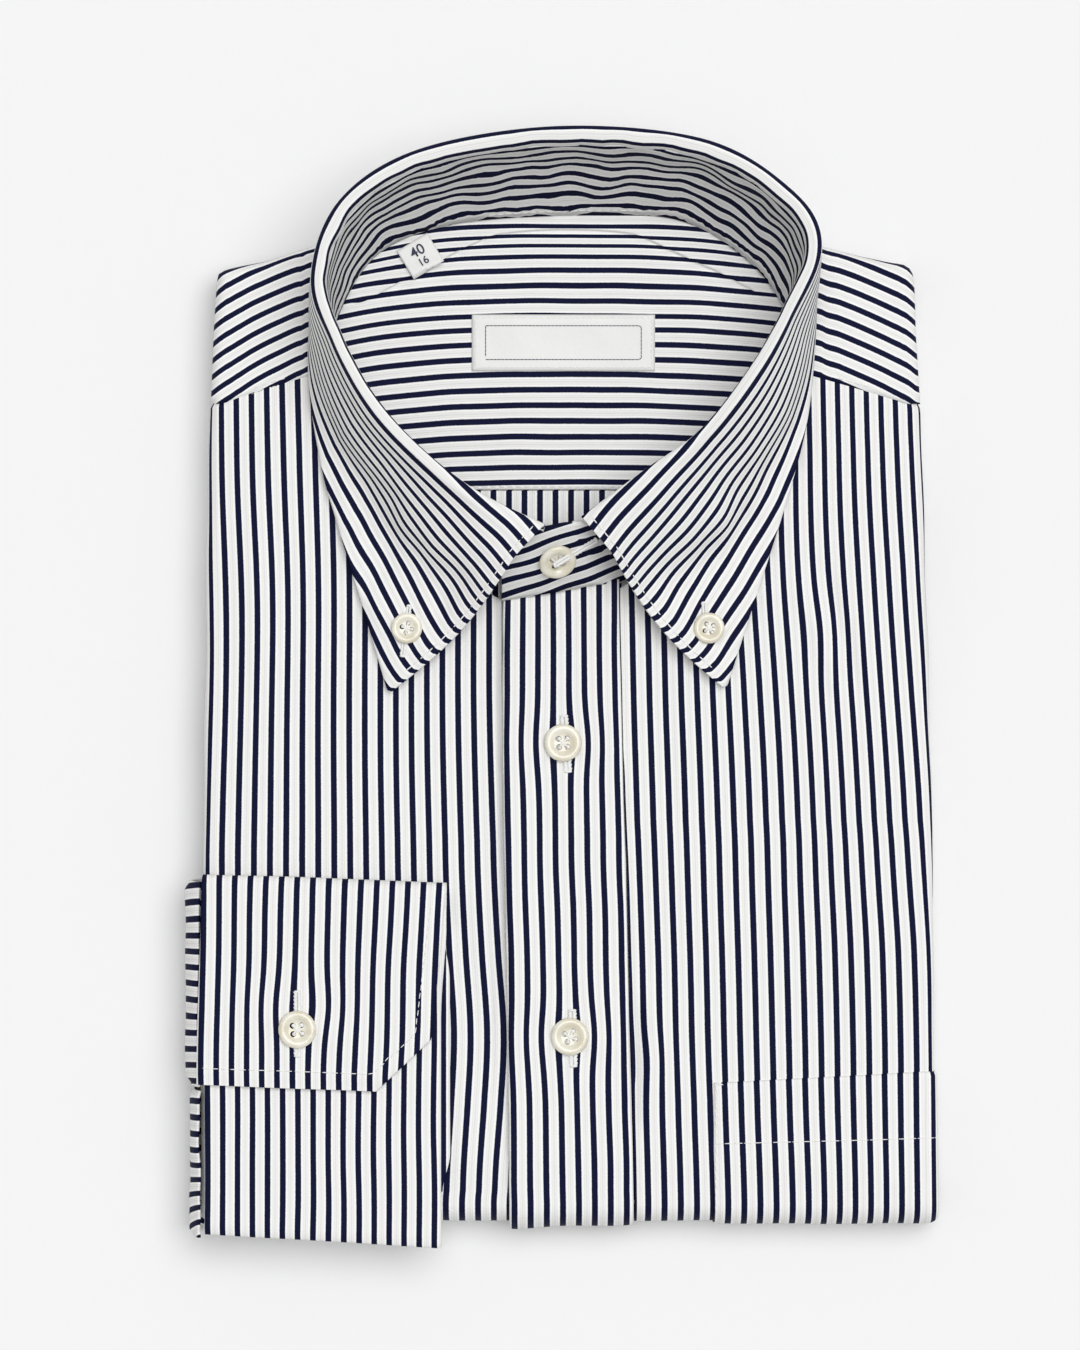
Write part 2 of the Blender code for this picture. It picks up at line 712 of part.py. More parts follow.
def cuff_path():
    """The cuff's section as (y, z) from the lapping end round to the end under it."""
    low = PACKET_HEIGHT + CUFF_CLOTH + CUFF_REST
    under = low + CUFF_LAYER_PITCH
    lap = under + CUFF_LAYER_PITCH
    top_y = CUFF_TOP_Y - CUFF_FOLD_REACH
    bottom_y = CUFF_BOTTOM_Y + CUFF_FOLD_REACH
    bottom_z = low - CUFF_CLOTH
    points = [(CUFF_LAP_END_Y + (top_y - CUFF_LAP_END_Y) * share, lap) for share in CUFF_LAP_ROWS]
    radius = (lap - bottom_z) / 2
    for turn in CUFF_FOLD_TURNS:
        a = math.radians(turn)
        y = top_y + CUFF_FOLD_REACH * math.sin(a)
        points.append((y, lap - radius + radius * math.cos(a)))
    points += [(top_y + (bottom_y - top_y) * share, bottom_z) for share in CUFF_ROWS]
    radius = (under - bottom_z) / 2
    for turn in reversed(CUFF_FOLD_TURNS):
        a = math.radians(turn)
        y = bottom_y - CUFF_FOLD_REACH * math.sin(a)
        points.append((y, bottom_z + radius + radius * math.cos(a)))
    points += [(bottom_y + (CUFF_UNDER_END_Y - bottom_y) * share, under) for share in CUFF_ROWS]
    return points


def make_cuff(materials, collection):
    """A flattened loop with its free end on top, one corner cut off slantwise."""
    rows = []
    for index, (y, z) in enumerate(cuff_path()):
        right = CUFF_RIGHT_X
        if index < len(CUFF_LAP_ROWS):
            right -= max(CUFF_CORNER - (y - CUFF_LAP_END_Y), 0.0)
            right -= CUFF_TAPER * (1 - ease(CUFF_TAPER_LOW_Y, CUFF_TAPER_TOP_Y, y))
        xs = [CUFF_LEFT_X + (right - CUFF_LEFT_X) * across for across in CUFF_COLUMNS]
        rows.append([Vector((x, y + CUFF_TILT * (CUFF_RIGHT_X - x), z)) for x in xs])
    wall("cuff", rows, CUFF_CLOTH, materials["stripe"], collection)


def make_sleeve(materials, collection):
    """The stretch of sleeve that leads up round the packet's side into the cuff."""
    rows = []
    for share_out, z_mm in SLEEVE_SECTION:
        line = []
        for along in steps(SLEEVE_STATIONS):
            y = SLEEVE_TOP_Y + (SLEEVE_BOTTOM_Y - SLEEVE_TOP_Y) * along
            out = SLEEVE_OUT_LOWER if y < SLEEVE_BREAK_Y else SLEEVE_OUT_UPPER
            x = SLEEVE_INNER_X + (out - SLEEVE_INNER_X) * share_out
            line.append(Vector((x, y, z_mm * MM)))
        rows.append(line)
    wall("sleeve", rows, SLEEVE_CLOTH, materials["stripe"], collection)


def packet_outline(inset):
    """The packet's plan outline as a ring of points, moved in by inset."""
    corner = LAYER_CORNER
    count = LAYER_SIDE_STEPS
    bottom = BOTTOM_EDGE_Y + inset + END_FOLD_ROOM
    shoulder = SHOULDER_Y - inset - END_FOLD_ROOM
    low_left = left_edge(bottom) + inset + corner
    low_right = right_edge(bottom) - inset - corner
    top_left = left_edge(shoulder) + inset + corner
    top_right = right_edge(shoulder) - inset - corner
    points = []
    for share in steps(count - 1):
        points.append((low_left + (low_right - low_left) * share, bottom))
    for share in steps(count):
        y = bottom + corner + (shoulder - bottom - 2 * corner) * share
        points.append((right_edge(y) - inset, y))
    for share in steps(count - 1):
        x = top_right + (top_left - top_right) * share
        points.append((x, top_edge(x) - inset - END_FOLD_ROOM))
    for share in steps(count):
        y = shoulder - corner - (shoulder - bottom - 2 * corner) * share
        points.append((left_edge(y) + inset, y))
    return points


def make_hidden_layers(materials, collection):
    """Everything folded away inside the packet: one rounded solid, layered at its edges."""
    rings = []
    for z_mm, inset_mm in LAYER_PROFILE:
        ring = [Vector((x, y, z_mm * MM)) for x, y in packet_outline(inset_mm * MM)]
        rings.append(ring)
    for z_mm, inset_mm in LAYER_TOP:
        ring = []
        for x, y in packet_outline(inset_mm * MM):
            sag = PACKET_HEIGHT - front_height(x, y)
            ring.append(Vector((x, y, z_mm * MM - sag)))
        rings.append(ring)
    ring_solid("hidden_layers", rings, materials["layers"], collection)


def make_label(name, size, centre, turn, lift, material, collection):
    """A flat woven label that lies on the inner yoke, lifted by lift."""
    bpy.ops.mesh.primitive_cube_add(size=1.0)
    label = bpy.context.object
    label.name = name
    label.data.name = name
    label.data.transform(Matrix.Diagonal((size[0], size[1], LABEL_CLOTH, 1.0)))
    label.data.materials.append(material)
    base = inside_height(centre[0], centre[1])
    label.location = (centre[0], centre[1], base + GAP + LABEL_CLOTH / 2 + lift)
    label.rotation_euler = (0, 0, math.radians(turn))
    for owner in list(label.users_collection):
        owner.objects.unlink(label)
    collection.objects.link(label)
    return label


def make_button(name, centre, diameter, tilt, turn, material, collection, cutters):
    """A turned disc with a rim, and four sewing holes cut through it."""
    radius = diameter / 2
    profile = [(r * radius, z * MM) for r, z in BUTTON_PROFILE]
    shape = bmesh.new()
    vertices = [shape.verts.new((r, 0, z)) for r, z in profile]
    edges = [shape.edges.new(pair) for pair in zip(vertices, vertices[1:])]
    bmesh.ops.spin(
        shape,
        geom=vertices + edges,
        cent=(0, 0, 0),
        axis=(0, 0, 1),
        angle=2 * math.pi,
        steps=BUTTON_SIDES,
    )
    bmesh.ops.remove_doubles(shape, verts=shape.verts, dist=1e-6)
    bmesh.ops.recalc_face_normals(shape, faces=shape.faces)
    mesh = bpy.data.meshes.new(name)
    shape.to_mesh(mesh)
    shape.free()
    button = add_object(name, mesh, material, collection)
    holes = bmesh.new()
    for quarter in range(4):
        angle = math.pi / 4 + quarter * math.pi / 2
        place = Matrix.Translation(
            (BUTTON_HOLE_OFFSET * math.cos(angle), BUTTON_HOLE_OFFSET * math.sin(angle), 0)
        )
        bmesh.ops.create_cone(
            holes,
            cap_ends=True,
            segments=BUTTON_HOLE_SIDES,
            radius1=BUTTON_HOLE_RADIUS,
            radius2=BUTTON_HOLE_RADIUS,
            depth=BUTTON_HOLE_DEPTH,
            matrix=place,
        )
    hole_mesh = bpy.data.meshes.new(name + "_holes")
    holes.to_mesh(hole_mesh)
    holes.free()
    cutter = bpy.data.objects.new(name + "_holes", hole_mesh)
    cutter.hide_render = True
    cutter.display_type = "WIRE"
    cutters.objects.link(cutter)
    for obj in (button, cutter):
        obj.location = Vector(centre) * MM
        obj.rotation_euler = (math.radians(tilt), 0, math.radians(turn))
    cut = button.modifiers.new("Sewing holes", "BOOLEAN")
    cut.operation = "DIFFERENCE"
    cut.object = cutter


def main():
    for obj in list(bpy.data.objects):
        bpy.data.objects.remove(obj, do_unlink=True)
    shirt = bpy.data.collections.new("Folded dress shirt")
    cutters = bpy.data.collections.new("Cutters")
    for collection in (shirt, cutters):
        bpy.context.scene.collection.children.link(collection)
    materials = {
        "stripe": make_material("Striped poplin", NAVY_STRIPE, 0.8),
        "shade": make_material("Striped poplin inside", SHADED_COTTON, 0.8),
        "layers": make_material("Folded layers", WHITE_COTTON, 0.85),
        "pearl": make_material("Pearl button", PEARL, 0.25),
        "label": make_material("Woven label", LABEL_WHITE, 0.6),
    }
    make_hidden_layers(materials, shirt)
    make_fronts(materials, shirt)
    make_placket(materials, shirt)
    make_pocket(materials, shirt)
    make_outer_yoke(materials, shirt)
    make_neck_inside(materials, shirt)
    make_stand(materials, shirt)
    make_leaf(materials, shirt)
    make_cuff(materials, shirt)
    make_sleeve(materials, shirt)
    woven = materials["label"]
    make_label("main_label", LABEL_SIZE, LABEL_CENTRE, 0, 0.0, woven, shirt)
    make_label("size_tab", TAB_SIZE, TAB_CENTRE, TAB_TURN, TAB_LIFT, woven, shirt)
    for name, centre, diameter, tilt, turn in BUTTONS:
        make_button(name, centre, diameter, tilt, turn, materials["pearl"], shirt, cutters)


main()
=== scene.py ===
"""Striped dress shirt, folded into a packet: cloth, stitching, buttons and finish on its frame."""
import math
from itertools import accumulate

import bmesh
import bpy
from bpy.props import FloatProperty, FloatVectorProperty, IntProperty, PointerProperty
from mathutils import Matrix, Vector, noise


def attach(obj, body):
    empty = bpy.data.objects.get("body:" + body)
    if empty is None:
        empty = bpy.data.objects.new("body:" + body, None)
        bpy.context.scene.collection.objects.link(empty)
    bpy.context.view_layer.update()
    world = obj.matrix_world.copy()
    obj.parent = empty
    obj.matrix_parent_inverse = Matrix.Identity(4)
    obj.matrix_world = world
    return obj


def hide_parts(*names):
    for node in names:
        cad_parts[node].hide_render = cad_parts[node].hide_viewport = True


bl_info = {
    "name": "Folded Striped Shirt",
    "version": (1, 0, 0),
    "blender": (4, 5, 0),
    "location": "View3D > Sidebar > Shirt",
    "description": "Builds the cloth, stitching, buttons and finish of a folded dress shirt",
    "category": "Object",
}

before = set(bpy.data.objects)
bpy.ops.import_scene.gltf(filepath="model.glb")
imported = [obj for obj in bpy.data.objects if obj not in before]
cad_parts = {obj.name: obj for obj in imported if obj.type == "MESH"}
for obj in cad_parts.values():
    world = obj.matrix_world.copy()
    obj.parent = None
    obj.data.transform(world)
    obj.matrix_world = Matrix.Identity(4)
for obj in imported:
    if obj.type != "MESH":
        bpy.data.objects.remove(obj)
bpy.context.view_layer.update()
MM = 0.001
UP = Vector((0, 0, 1))

# ---- the garment's own sizes, in mm unless a name says otherwise ------------------------------

# Packet in plan: its sides, bottom and top edge
# (y, left x, right x)
SIDE_EDGES = [
    (-162, -110.4, 114.3), (-94, -110.2, 114.0), (-54, -109.8, 113.5), (-20, -109.3, 112.9),
    (42, -108.5, 111.3), (89, -107.5, 109.7), (130, -105.4, 107.8),
]
BOTTOM_EDGE = -162.0
# Thickness of the pieces that differ from the cloth and the collar cloth below
PLACKET_WALL = 0.9
POCKET_WALL = 0.6
INSIDE_WALL = 0.8
SLEEVE_WALL = 0.8
CUFF_INNER_WALL = 0.6
LABEL_WALL = 0.4
# (x, y), left to right
TOP_EDGE = [
    (-106, 129.5), (-101.4, 130.2), (-90.7, 132.1), (-80, 135.6), (-76, 136.8), (-40, 150),
    (0, 152), (40, 150), (77, 137.5), (108, 131.5),
]
# How far the fronts sag at their edges, and how far in
EDGE_SAG = 1.6
EDGE_SAG_WIDTH = 22.0
# How far round the side fold and the bottom fold each row of cloth lies
SIDE_TURNS = [math.radians(a) for a in (10, 22, 35, 48, 62, 76, 91, 106, 121, 136, 150, 162)]
END_TURNS = [math.radians(a) for a in range(8, 162, 8)]
# Length of cloth in each radian of the bottom fold
FOLD_RUN = 8.5
# Grid of the fronts: rows up, columns across, and the first columns at the inner edge, as shares
LEVELS = 150
COLUMNS = 110
EDGE_COLUMNS = [0.0, 0.0035, 0.007, 0.0105]
# Neckline and then the yoke's seam out to the side: (distance from the middle, y)
NECKLINE = [
    (0, 26), (9, 25.5), (18, 29), (30, 37), (46, 49), (58, 65), (66, 84), (71, 98.3), (82, 95.6),
    (94, 92.3), (101, 89.8), (107, 86.0),
]
# Distance from the middle where the yoke's seam starts and ends, and how far cloth goes under it
YOKE_SEAM = (68, 105)
UNDER_YOKE = 3.0

# Where stripes run on the fronts and the placket
# (y, x of stripe 1, x of stripe 16)
RIGHT_FRONT_STRIPES = [
    (-160, -103.6, -30.8), (-152, -103.6, -30.5), (-124, -103.6, -28.6), (-103, -103.6, -27.8),
    (-78, -103.6, -29.3), (-57, -103.6, -30.4), (-39, -103.4, -30.8), (-2, -102.7, -31.6),
    (40, -102.9, -31.9), (74, -103.5, -33.2), (98, -103.9, -34.0),
]
# (y, x of stripe 0, x of stripe 10, x of stripe 17)
LEFT_FRONT_STRIPES = [
    (-160, 26.5, 75.7, 108.9), (-124, 25.7, 74.7, 108.6), (-103, 24.8, 74.2, 108.3),
    (-78, 24.4, 73.6, 107.6), (-57, 23.9, 72.7, 106.1), (-39, 23.2, 72.0, 104.8),
    (-2, 22.1, 70.2, 102.2), (40, 21.2, 67.2, 99.5), (74, 20.2, 66.8, 98.0), (98, 19.8, 66.2, 97.2),
]
# (y, x of stripe 0, x of stripe 7)
PLACKET_STRIPES = [
    (-160, -14.3, 20.1), (-152, -14.4, 19.9), (-124, -14.6, 19.2), (-103, -15.2, 18.6),
    (-78, -15.4, 18.3), (-57, -16.0, 17.7), (-39, -16.4, 17.2), (-2, -16.5, 16.2),
    (34, -16.4, 16.0),
]
# (y, left x, right x)
PLACKET_EDGES = [
    (-162, -15.9, 22.0), (-124, -16.3, 21.3), (-94, -16.8, 20.4), (-51, -17.6, 19.5),
    (-33, -18.1, 18.8), (0, -18.2, 18.1), (28, -18.1, 17.5),
]
# Soft creases of the fronts: (x0, y0, x1, y1, half width, height), a trough where height < 0
CREASES = [
    (-31, -72, -22, -122, 7.0, -1.0),
    (-20.8, 24, -18.8, -112, 2.8, -2.2),
    (-40, -66, -36, -128, 6.0, 0.45),
    (73.7, 31.3, 85, 0.8, 4.5, 0.9),
    (80, 36, 90, 0, 4.0, -1.3),
    (22.6, -98, 22.9, -132, 3.2, -1.5),
    (27.5, -96, 27.8, -134, 3.5, 0.5),
    (-98, 74, -92, 8, 7.0, 0.5),
    (-86, 60, -82, -10, 6.0, -0.4),
    (44, -2, 38, -70, 8.0, 0.35),
    (30, 20, 33, -34, 5.0, -0.45),
    (-70, -12, -62, -48, 8.0, 0.3),
    (96, -30, 101, -104, 6.0, -0.35),
    (62, -84, 58, -112, 5.0, 0.3),
]
# Where stripes bend aside in plan: (x, y, reach in x, reach in y, shift)
STRIPE_BENDS = [
    (-95, 68, 16, 22, -0.5),
    (-95, 28, 16, 24, 0.5),
    (80.2, 19, 7, 12, 1.0),
    (92, -171, 34, 6, -2.0),
    (34, 24, 10, 20, 0.3),
    (27, -112, 5, 9, 0.7),
    (-24, -156, 16, 13, 0.45),
]
# Pulls of the cloth round the placket's buttons: (x, y)
BUTTON_PULLS = [(0.4, -15.3), (2.5, -104.8)]
# Placket's buttonholes: (x, y, lean in x)
PLACKET_HOLES = [(1.3, -15.6, -0.07), (3.4, -105.3, -0.02)]
# Pocket's left edge, and its top there and at the packet's side
POCKET_LEFT = 46.4
POCKET_SIDE = 114
POCKET_TOP = (-119, -115.5)

# Collar, a row per place from the left front end round the back to the right front end
# (seam x, seam y, fold x, fold y, fold z, edge x, edge y, edge z)
COLLAR_ROWS = [
    (-9, 30.0, -5.0, 51.0, 42.0, -52.8, -0.6, 25.0),
    (-30, 42.0, -25.6, 61.2, 47.0, -60.0, 24.0, 25.0),
    (-48, 60.0, -42.6, 74.4, 51.0, -68.0, 50.0, 25.0),
    (-62, 82.0, -56.0, 89.5, 54.0, -73.5, 70.0, 25.0),
    (-69, 106.0, -66.3, 108.5, 56.5, -77.1, 95.0, 25.2),
    (-67, 117.5, -70.6, 125.0, 58.0, -75.9, 117.0, 25.2),
    (-55.5, 134.0, -62.5, 145.0, 58.0, -67.4, 139.5, 20.5),
    (-33.5, 142.5, -40.0, 158.6, 57.5, -45.5, 156.5, 14.0),
    (0, 145.2, 0.0, 164.8, 57.5, 0.0, 165.0, 12.0),
    (34, 144.3, 41.0, 161.2, 57.5, 47.0, 158.5, 14.0),
    (54.4, 133.5, 64.5, 148.0, 58.0, 68.8, 141.8, 20.5),
    (66.5, 119.5, 73.2, 134.0, 58.0, 77.0, 124.0, 25.2),
    (68.5, 108.0, 65.5, 114.5, 56.5, 76.9, 101.0, 25.2),
    (60, 86.0, 55.5, 97.0, 54.3, 74.3, 80.0, 25.0),
    (46, 64.0, 41.0, 79.0, 51.0, 68.0, 56.5, 25.0),
    (29, 45.0, 24.2, 67.0, 47.0, 58.5, 27.0, 25.0),
    (17.5, 34.5, 5.7, 53.3, 42.0, 50.0, 0.6, 25.0),
]
SIDE_ROWS = 8
# Top of the collar's fold, by collar row counted from each front end: its width in plan, the
# stripe count on its inner side and the stripe count at the leaf's free edge
# (row, left width, left inner, left edge, right width, right inner, right edge)
FOLD_TOPS = [
    (0.0, 13.4, -2.8, 14.2, 14.5, -3.05, 13.85),
    (0.5, 9.4, -2.05, 13.45, 11.8, -2.55, 12.8),
    (1.0, 6.2, -1.45, 12.95, 9.3, -2.15, 11.95),
    (1.5, 4.8, -1.02, 12.1, 6.7, -1.65, 11.2),
    (2.0, 4.4, -0.95, 11.7, 4.8, -1.08, 10.5),
    (3.0, 4.4, -1.0, 10.75, 4.4, -0.9, 9.85),
    (4.5, 4.4, -1.0, 9.4, 4.4, -1.0, 9.4),
    (5.5, 4.6, -0.95, 9.4, 4.6, -0.95, 9.4),
    (8.0, 4.8, -0.92, 9.4, 4.8, -0.92, 9.4),
]
# Where the leaf's cloth lies between its fold and its free edge, by collar row counted from the
# front end: (row, plan share at each twelfth of the cloth)
LEFT_LEAF_SPREAD = [
    (0.25, 0.090, 0.163, 0.235, 0.297, 0.363, 0.441, 0.527, 0.620, 0.723, 0.814, 0.911),
    (0.6, 0.085, 0.159, 0.229, 0.288, 0.344, 0.410, 0.492, 0.595, 0.695, 0.799, 0.899),
    (1.0, 0.076, 0.149, 0.228, 0.303, 0.366, 0.414, 0.469, 0.557, 0.666, 0.781, 0.901),
    (1.4, 0.070, 0.142, 0.212, 0.286, 0.353, 0.419, 0.473, 0.529, 0.613, 0.730, 0.858),
    (1.8, 0.071, 0.134, 0.205, 0.276, 0.332, 0.386, 0.444, 0.511, 0.594, 0.716, 0.862),
    (2.3, 0.072, 0.130, 0.193, 0.260, 0.331, 0.391, 0.441, 0.496, 0.575, 0.701, 0.857),
    (3.0, 0.077, 0.141, 0.203, 0.277, 0.358, 0.432, 0.495, 0.548, 0.599, 0.685, 0.830),
    (4.5, 0.083, 0.167, 0.250, 0.333, 0.417, 0.500, 0.583, 0.667, 0.750, 0.833, 0.917),
]
RIGHT_LEAF_SPREAD = [
    (0.25, 0.075, 0.142, 0.206, 0.270, 0.344, 0.435, 0.532, 0.628, 0.721, 0.816, 0.914),
    (0.6, 0.078, 0.148, 0.214, 0.278, 0.342, 0.409, 0.493, 0.590, 0.688, 0.790, 0.891),
    (1.0, 0.076, 0.146, 0.226, 0.304, 0.377, 0.437, 0.488, 0.561, 0.664, 0.775, 0.891),
    (1.4, 0.076, 0.144, 0.221, 0.303, 0.384, 0.467, 0.535, 0.586, 0.651, 0.754, 0.875),
    (1.8, 0.077, 0.145, 0.216, 0.292, 0.366, 0.435, 0.507, 0.584, 0.656, 0.751, 0.874),
    (2.3, 0.084, 0.163, 0.241, 0.320, 0.397, 0.467, 0.529, 0.586, 0.643, 0.731, 0.856),
    (3.0, 0.095, 0.180, 0.261, 0.343, 0.425, 0.507, 0.583, 0.644, 0.696, 0.754, 0.839),
    (4.5, 0.083, 0.167, 0.250, 0.333, 0.417, 0.500, 0.583, 0.667, 0.750, 0.833, 0.917),
]
FOLD_RISE = 1.2
LEAF_BULGE = 0.6
LEAF_END_BOW = 3.0
POINT_ROUND = 1.3
# Columns close to the leaf's front ends, as shares of the way round
LEAF_END_COLUMNS = [0.0, 0.0012, 0.0025, 0.004, 0.006, 0.009, 0.013]
# Buttonholes at the leaf's points: (x, y, direction in x and y, length)
POINT_HOLES = [(-47.35, 18.45, 0.136, 1.0, 15.4), (43.4, 19.85, -0.08, 1.0, 15.0)]
# How far the stand's top stays under the fold, and its left end under the right
STAND_TOP_DROP = 3.4
STAND_UNDER = 3.0
# Stripes on its lapping end: climb to the right, y of stripe -8 at x 0, and pitch up
STAND_FRONT_STRIPES = (0.35, 31.8, 3.86)
# Places beside the stand's buttonhole where the stripes are drawn to navy as painted shade of its
# dark gaps: (x, y)
STAND_HOLE_PAINTED_SHADE = [(7.4, 46.5), (10.6, 43.1)]
# The lapping end of the stand at the front, right to left
# (low x, low y, low z, high x, high y, high z)
STAND_FRONT = [
    (10, 32.8, 24.8, 3.5, 51.2, 39.3),
    (2, 31.2, 24.8, -2.0, 50.4, 39.4),
    (-8, 29.5, 24.8, -9.5, 48.2, 38.8),
    (-18.2, 27.9, 24.8, -18.2, 42.5, 36.0),
]

# Outer yoke's rim, left to right: where it meets the side edges, and its rounded corners
YOKE_SIDE_LEVELS = (88.3, 110, 126)
YOKE_LEFT_CORNER = [(-105.1, 128.4), (-103.8, 129.4)]
YOKE_RIGHT_CORNER = [(91.3, 133.8), (100.4, 131.9), (104.8, 131.2), (106.5, 130.2), (107.5, 128.7)]
# Reach in plan and depth of the fold behind the neck
BACK_REACH = 2.4
BACK_DEPTH = 20.5
# Its share of the collar, from the left seam round to the right one
YOKE_SHARES = (0.229, 0.778)
# Where stripes run on each half: (distance from the middle, y of stripe 0, y of stripe 7)
LEFT_YOKE_STRIPES = [
    (0, 114, 146), (40, 113, 145.5), (60, 109, 141.5), (78.1, 103.1, 134.6), (81.1, 101.5, 133.6),
    (85.7, 99.2, 132.0), (90.2, 97.0, 130.1), (94.8, 94.4, 128.1), (99.3, 91.5, 125.8),
    (102.4, 89.5, 124.1), (104.5, 88.1, 122.8), (107, 86.7, 121.4),
]
RIGHT_YOKE_STRIPES = [
    (0, 114, 146), (40, 113, 145.5), (60, 108, 141.5), (79.2, 101.6, 135.4), (84.6, 99.5, 133.7),
    (89.2, 97.5, 132.1), (93.8, 95.5, 130.2), (98.3, 93.4, 128.3), (102.9, 91.1, 126.4),
    (105.3, 89.9, 125.1), (106.5, 89.1, 124.2), (108.5, 87.9, 123.0),
]

# Inside of the neck: its depth under the fronts, and the hem between inner yoke and back
INSIDE_DROP = 2.4
INNER_HEM = 62.0
INNER_TOP = 148
BACK_START = 34
# Where stripes run on the back: (x of stripe 0, pitch)
BACK_STRIPES = (-6.6, 4.74)
# (y, left x, right x) of the cloth, out under the stand's foot
NECK_SIDES = [
    (34, -19, 19), (42, -32.5, 29), (54, -46, 40.5), (62, -52, 47), (74, -60, 55.5), (90, -67, 64),
    (106, -71.5, 70.5), (117, -70, 70), (127, -64, 63), (134, -58.5, 57.5), (139, -49, 50),
    (142, -41, 43), (145, -30, 33), (148, -10, 14),
]
# (y in the middle, stripe count)
INNER_YOKE_STRIPES = [
    (54, -2.2), (64.3, 0), (73.3, 2), (83.0, 4), (92.4, 6), (101.9, 8), (111.0, 10), (119.8, 12),
    (124.3, 13), (129.0, 14), (133.2, 15), (136.5, 16), (139.4, 17), (142.6, 18), (148, 19.2),
]
# How far the stripes bow down at 60 mm from the middle: (y, left, right)
INNER_YOKE_BOWS = [
    (62, 3.4, 2.0), (89, 3.4, 2.0), (120, 3.6, 2.0), (130, 5.2, 3.4), (138, 6.0, 4.0),
]
# Fold across the inner yoke's upper part: (x, y)
INNER_YOKE_CREASE = [
    (-60, 119), (-45, 127), (-36.9, 130.8), (-27.4, 136.3), (-19.4, 140), (0, 141.5), (21.8, 140.1),
    (35.1, 133.9), (45.9, 129), (52.5, 125.2), (60, 121),
]

# Cuff: a flattened loop that laps over the lower front
CUFF_LEFT = -109.0
CUFF_RIGHT = -35.0
CUFF_TOP = -57.8
CUFF_BOTTOM = -169.4
CUFF_WALL = 1.5
CUFF_PITCH = 2.6
CUFF_BEND = 4.0
CUFF_LAP_END = -122.0
CUFF_UNDER_END = -65.0
CUFF_CORNER = 17.0
CUFF_TAPER = 4.3
CUFF_TILT = 0.036
CUFF_BUTTON = (-80.3, -102.3)
# Rows of the cuff's section, as shares along its lap and its under layer, and degrees round folds
CUFF_LAP_ROWS = (0.0, 0.02, 0.06, 0.12, 0.2, 0.3, 0.42, 0.55, 0.68, 0.8, 0.9, 1.0)
CUFF_TOP_TURNS = (20, 45, 70, 95, 120, 145, 165)
CUFF_BOTTOM_TURNS = (160, 135, 110, 85, 60, 35, 15)
CUFF_UNDER_ROWS = (0.0, 0.012, 0.03, 0.06, 0.11, 0.18, 0.28, 0.4, 0.55, 0.7, 0.85, 1.0)
# Where the cuff's stripes run: (y, x of stripe 0, pitch)
CUFF_STRIPES = [(-118, -109.7, 4.66), (-57, -108.9, 4.78)]
# The same for the layer under the lap, and for the inner side with its top and bottom y
CUFF_UNDER_STRIPES = (-107.9, 4.61)
CUFF_INNER_STRIPES = (-108.9, 4.7)
CUFF_INNER_SPAN = (-66.0, -152.0)
# Sleeve where it wraps the side: (share out, height), and its two lengths beside the cuff
SLEEVE_SECTION = [
    (0.32, 0.4), (0.6, 1.4), (0.9, 4.5), (1.0, 9), (1.0, 15), (0.88, 20.5), (0.56, 24.8), (0.3, 27),
]
SLEEVE_INNER = -109.3
SLEEVE_PITCH = 4.95
SLEEVE_PARTS = [  # (piece, top y, bottom y, outermost x, stripe phase, share of full height)
    ("sleeve_upper_cloth", -57.5, -120.0, -115.0, 0.0, 1.0),
    ("sleeve_lower_cloth", -121.2, -166.0, -113.9, 0.25, 0.94),
]

# Side of the folded layers: (height, how far inside the packet's edge)
LAYER_PROFILE = [
    (0.0, 8.5), (0.25, 6.0), (0.9, 4.0), (2.0, 2.8), (3.6, 2.0), (5.4, 1.9), (6.9, 2.6), (7.9, 4.0),
    (8.3, 5.6), (8.6, 4.2), (9.2, 3.0), (9.8, 2.6), (10.35, 3.2), (10.6, 5.2), (10.8, 3.4),
    (11.3, 2.6), (11.9, 2.5), (12.4, 3.2), (12.7, 5.4), (14.6, 5.6),
]
LAYER_TOP = [(16.0, 6.0), (17.2, 8.0), (17.5, 14.0), (17.5, 40.0)]
LAYER_PITCH = 4.72
LAYER_CORNER = 4.0
LAYER_SHOULDER = 130

# Buttons: (piece, node, centre, diameter, tilt and turn in degrees)
BUTTONS = [
    ("placket_button_upper", "placket_button_1", (0.4, -15.3, 24.1), 11.5, 0, 3),
    ("placket_button_lower", "placket_button_2", (2.5, -104.8, 24.1), 11.5, 0, 18),
    ("stand_button", "collar_stand_button", (-1.4, 40.0, 32.6), 11.5, 36, 20),
    ("point_button_left", "collar_point_button_left", (-47.1, 19.6, 27.0), 9.4, 0, 30),
    ("point_button_right", "collar_point_button_right", (44.8, 19.6, 27.3), 9.4, 0, -12),
    ("wrist_button", "cuff_button", (-80.3, -102.3, 29.9), 11.5, 0, 4),
]
# Half section of a button: (share of its radius, height)
BUTTON_PROFILE = [
    (0.0, 0.85), (0.36, 0.85), (0.46, 0.92), (0.54, 1.15), (0.62, 1.5), (0.72, 1.72), (0.84, 1.75),
    (0.94, 1.5), (0.99, 1.1), (1.0, 0.75), (0.96, 0.35), (0.85, 0.05), (0.5, -0.05), (0.0, -0.08),
]
# Radius that the holes are drawn for, their distance from the middle and their own radius
BUTTON_RADIUS = 5.75
HOLE_OFFSET = 1.8
HOLE_RADIUS = 0.92

# Labels: centre and size in plan, and the tab's turn in degrees
LABEL_CENTRE = (0.55, 106.8)
LABEL_SIZE = (55.9, 17.2)
TAB_CENTRE = (-43.1, 133.2)
TAB_SIZE = (10.8, 10.1)
TAB_TURN = 31
# Numbers on the tab: (piece, number, height, distance above the tab's middle)
TAB_NUMBERS = [("size_number", "40", 4.6, 1.7), ("size_sleeve_number", "16", 3.4, -1.9)]

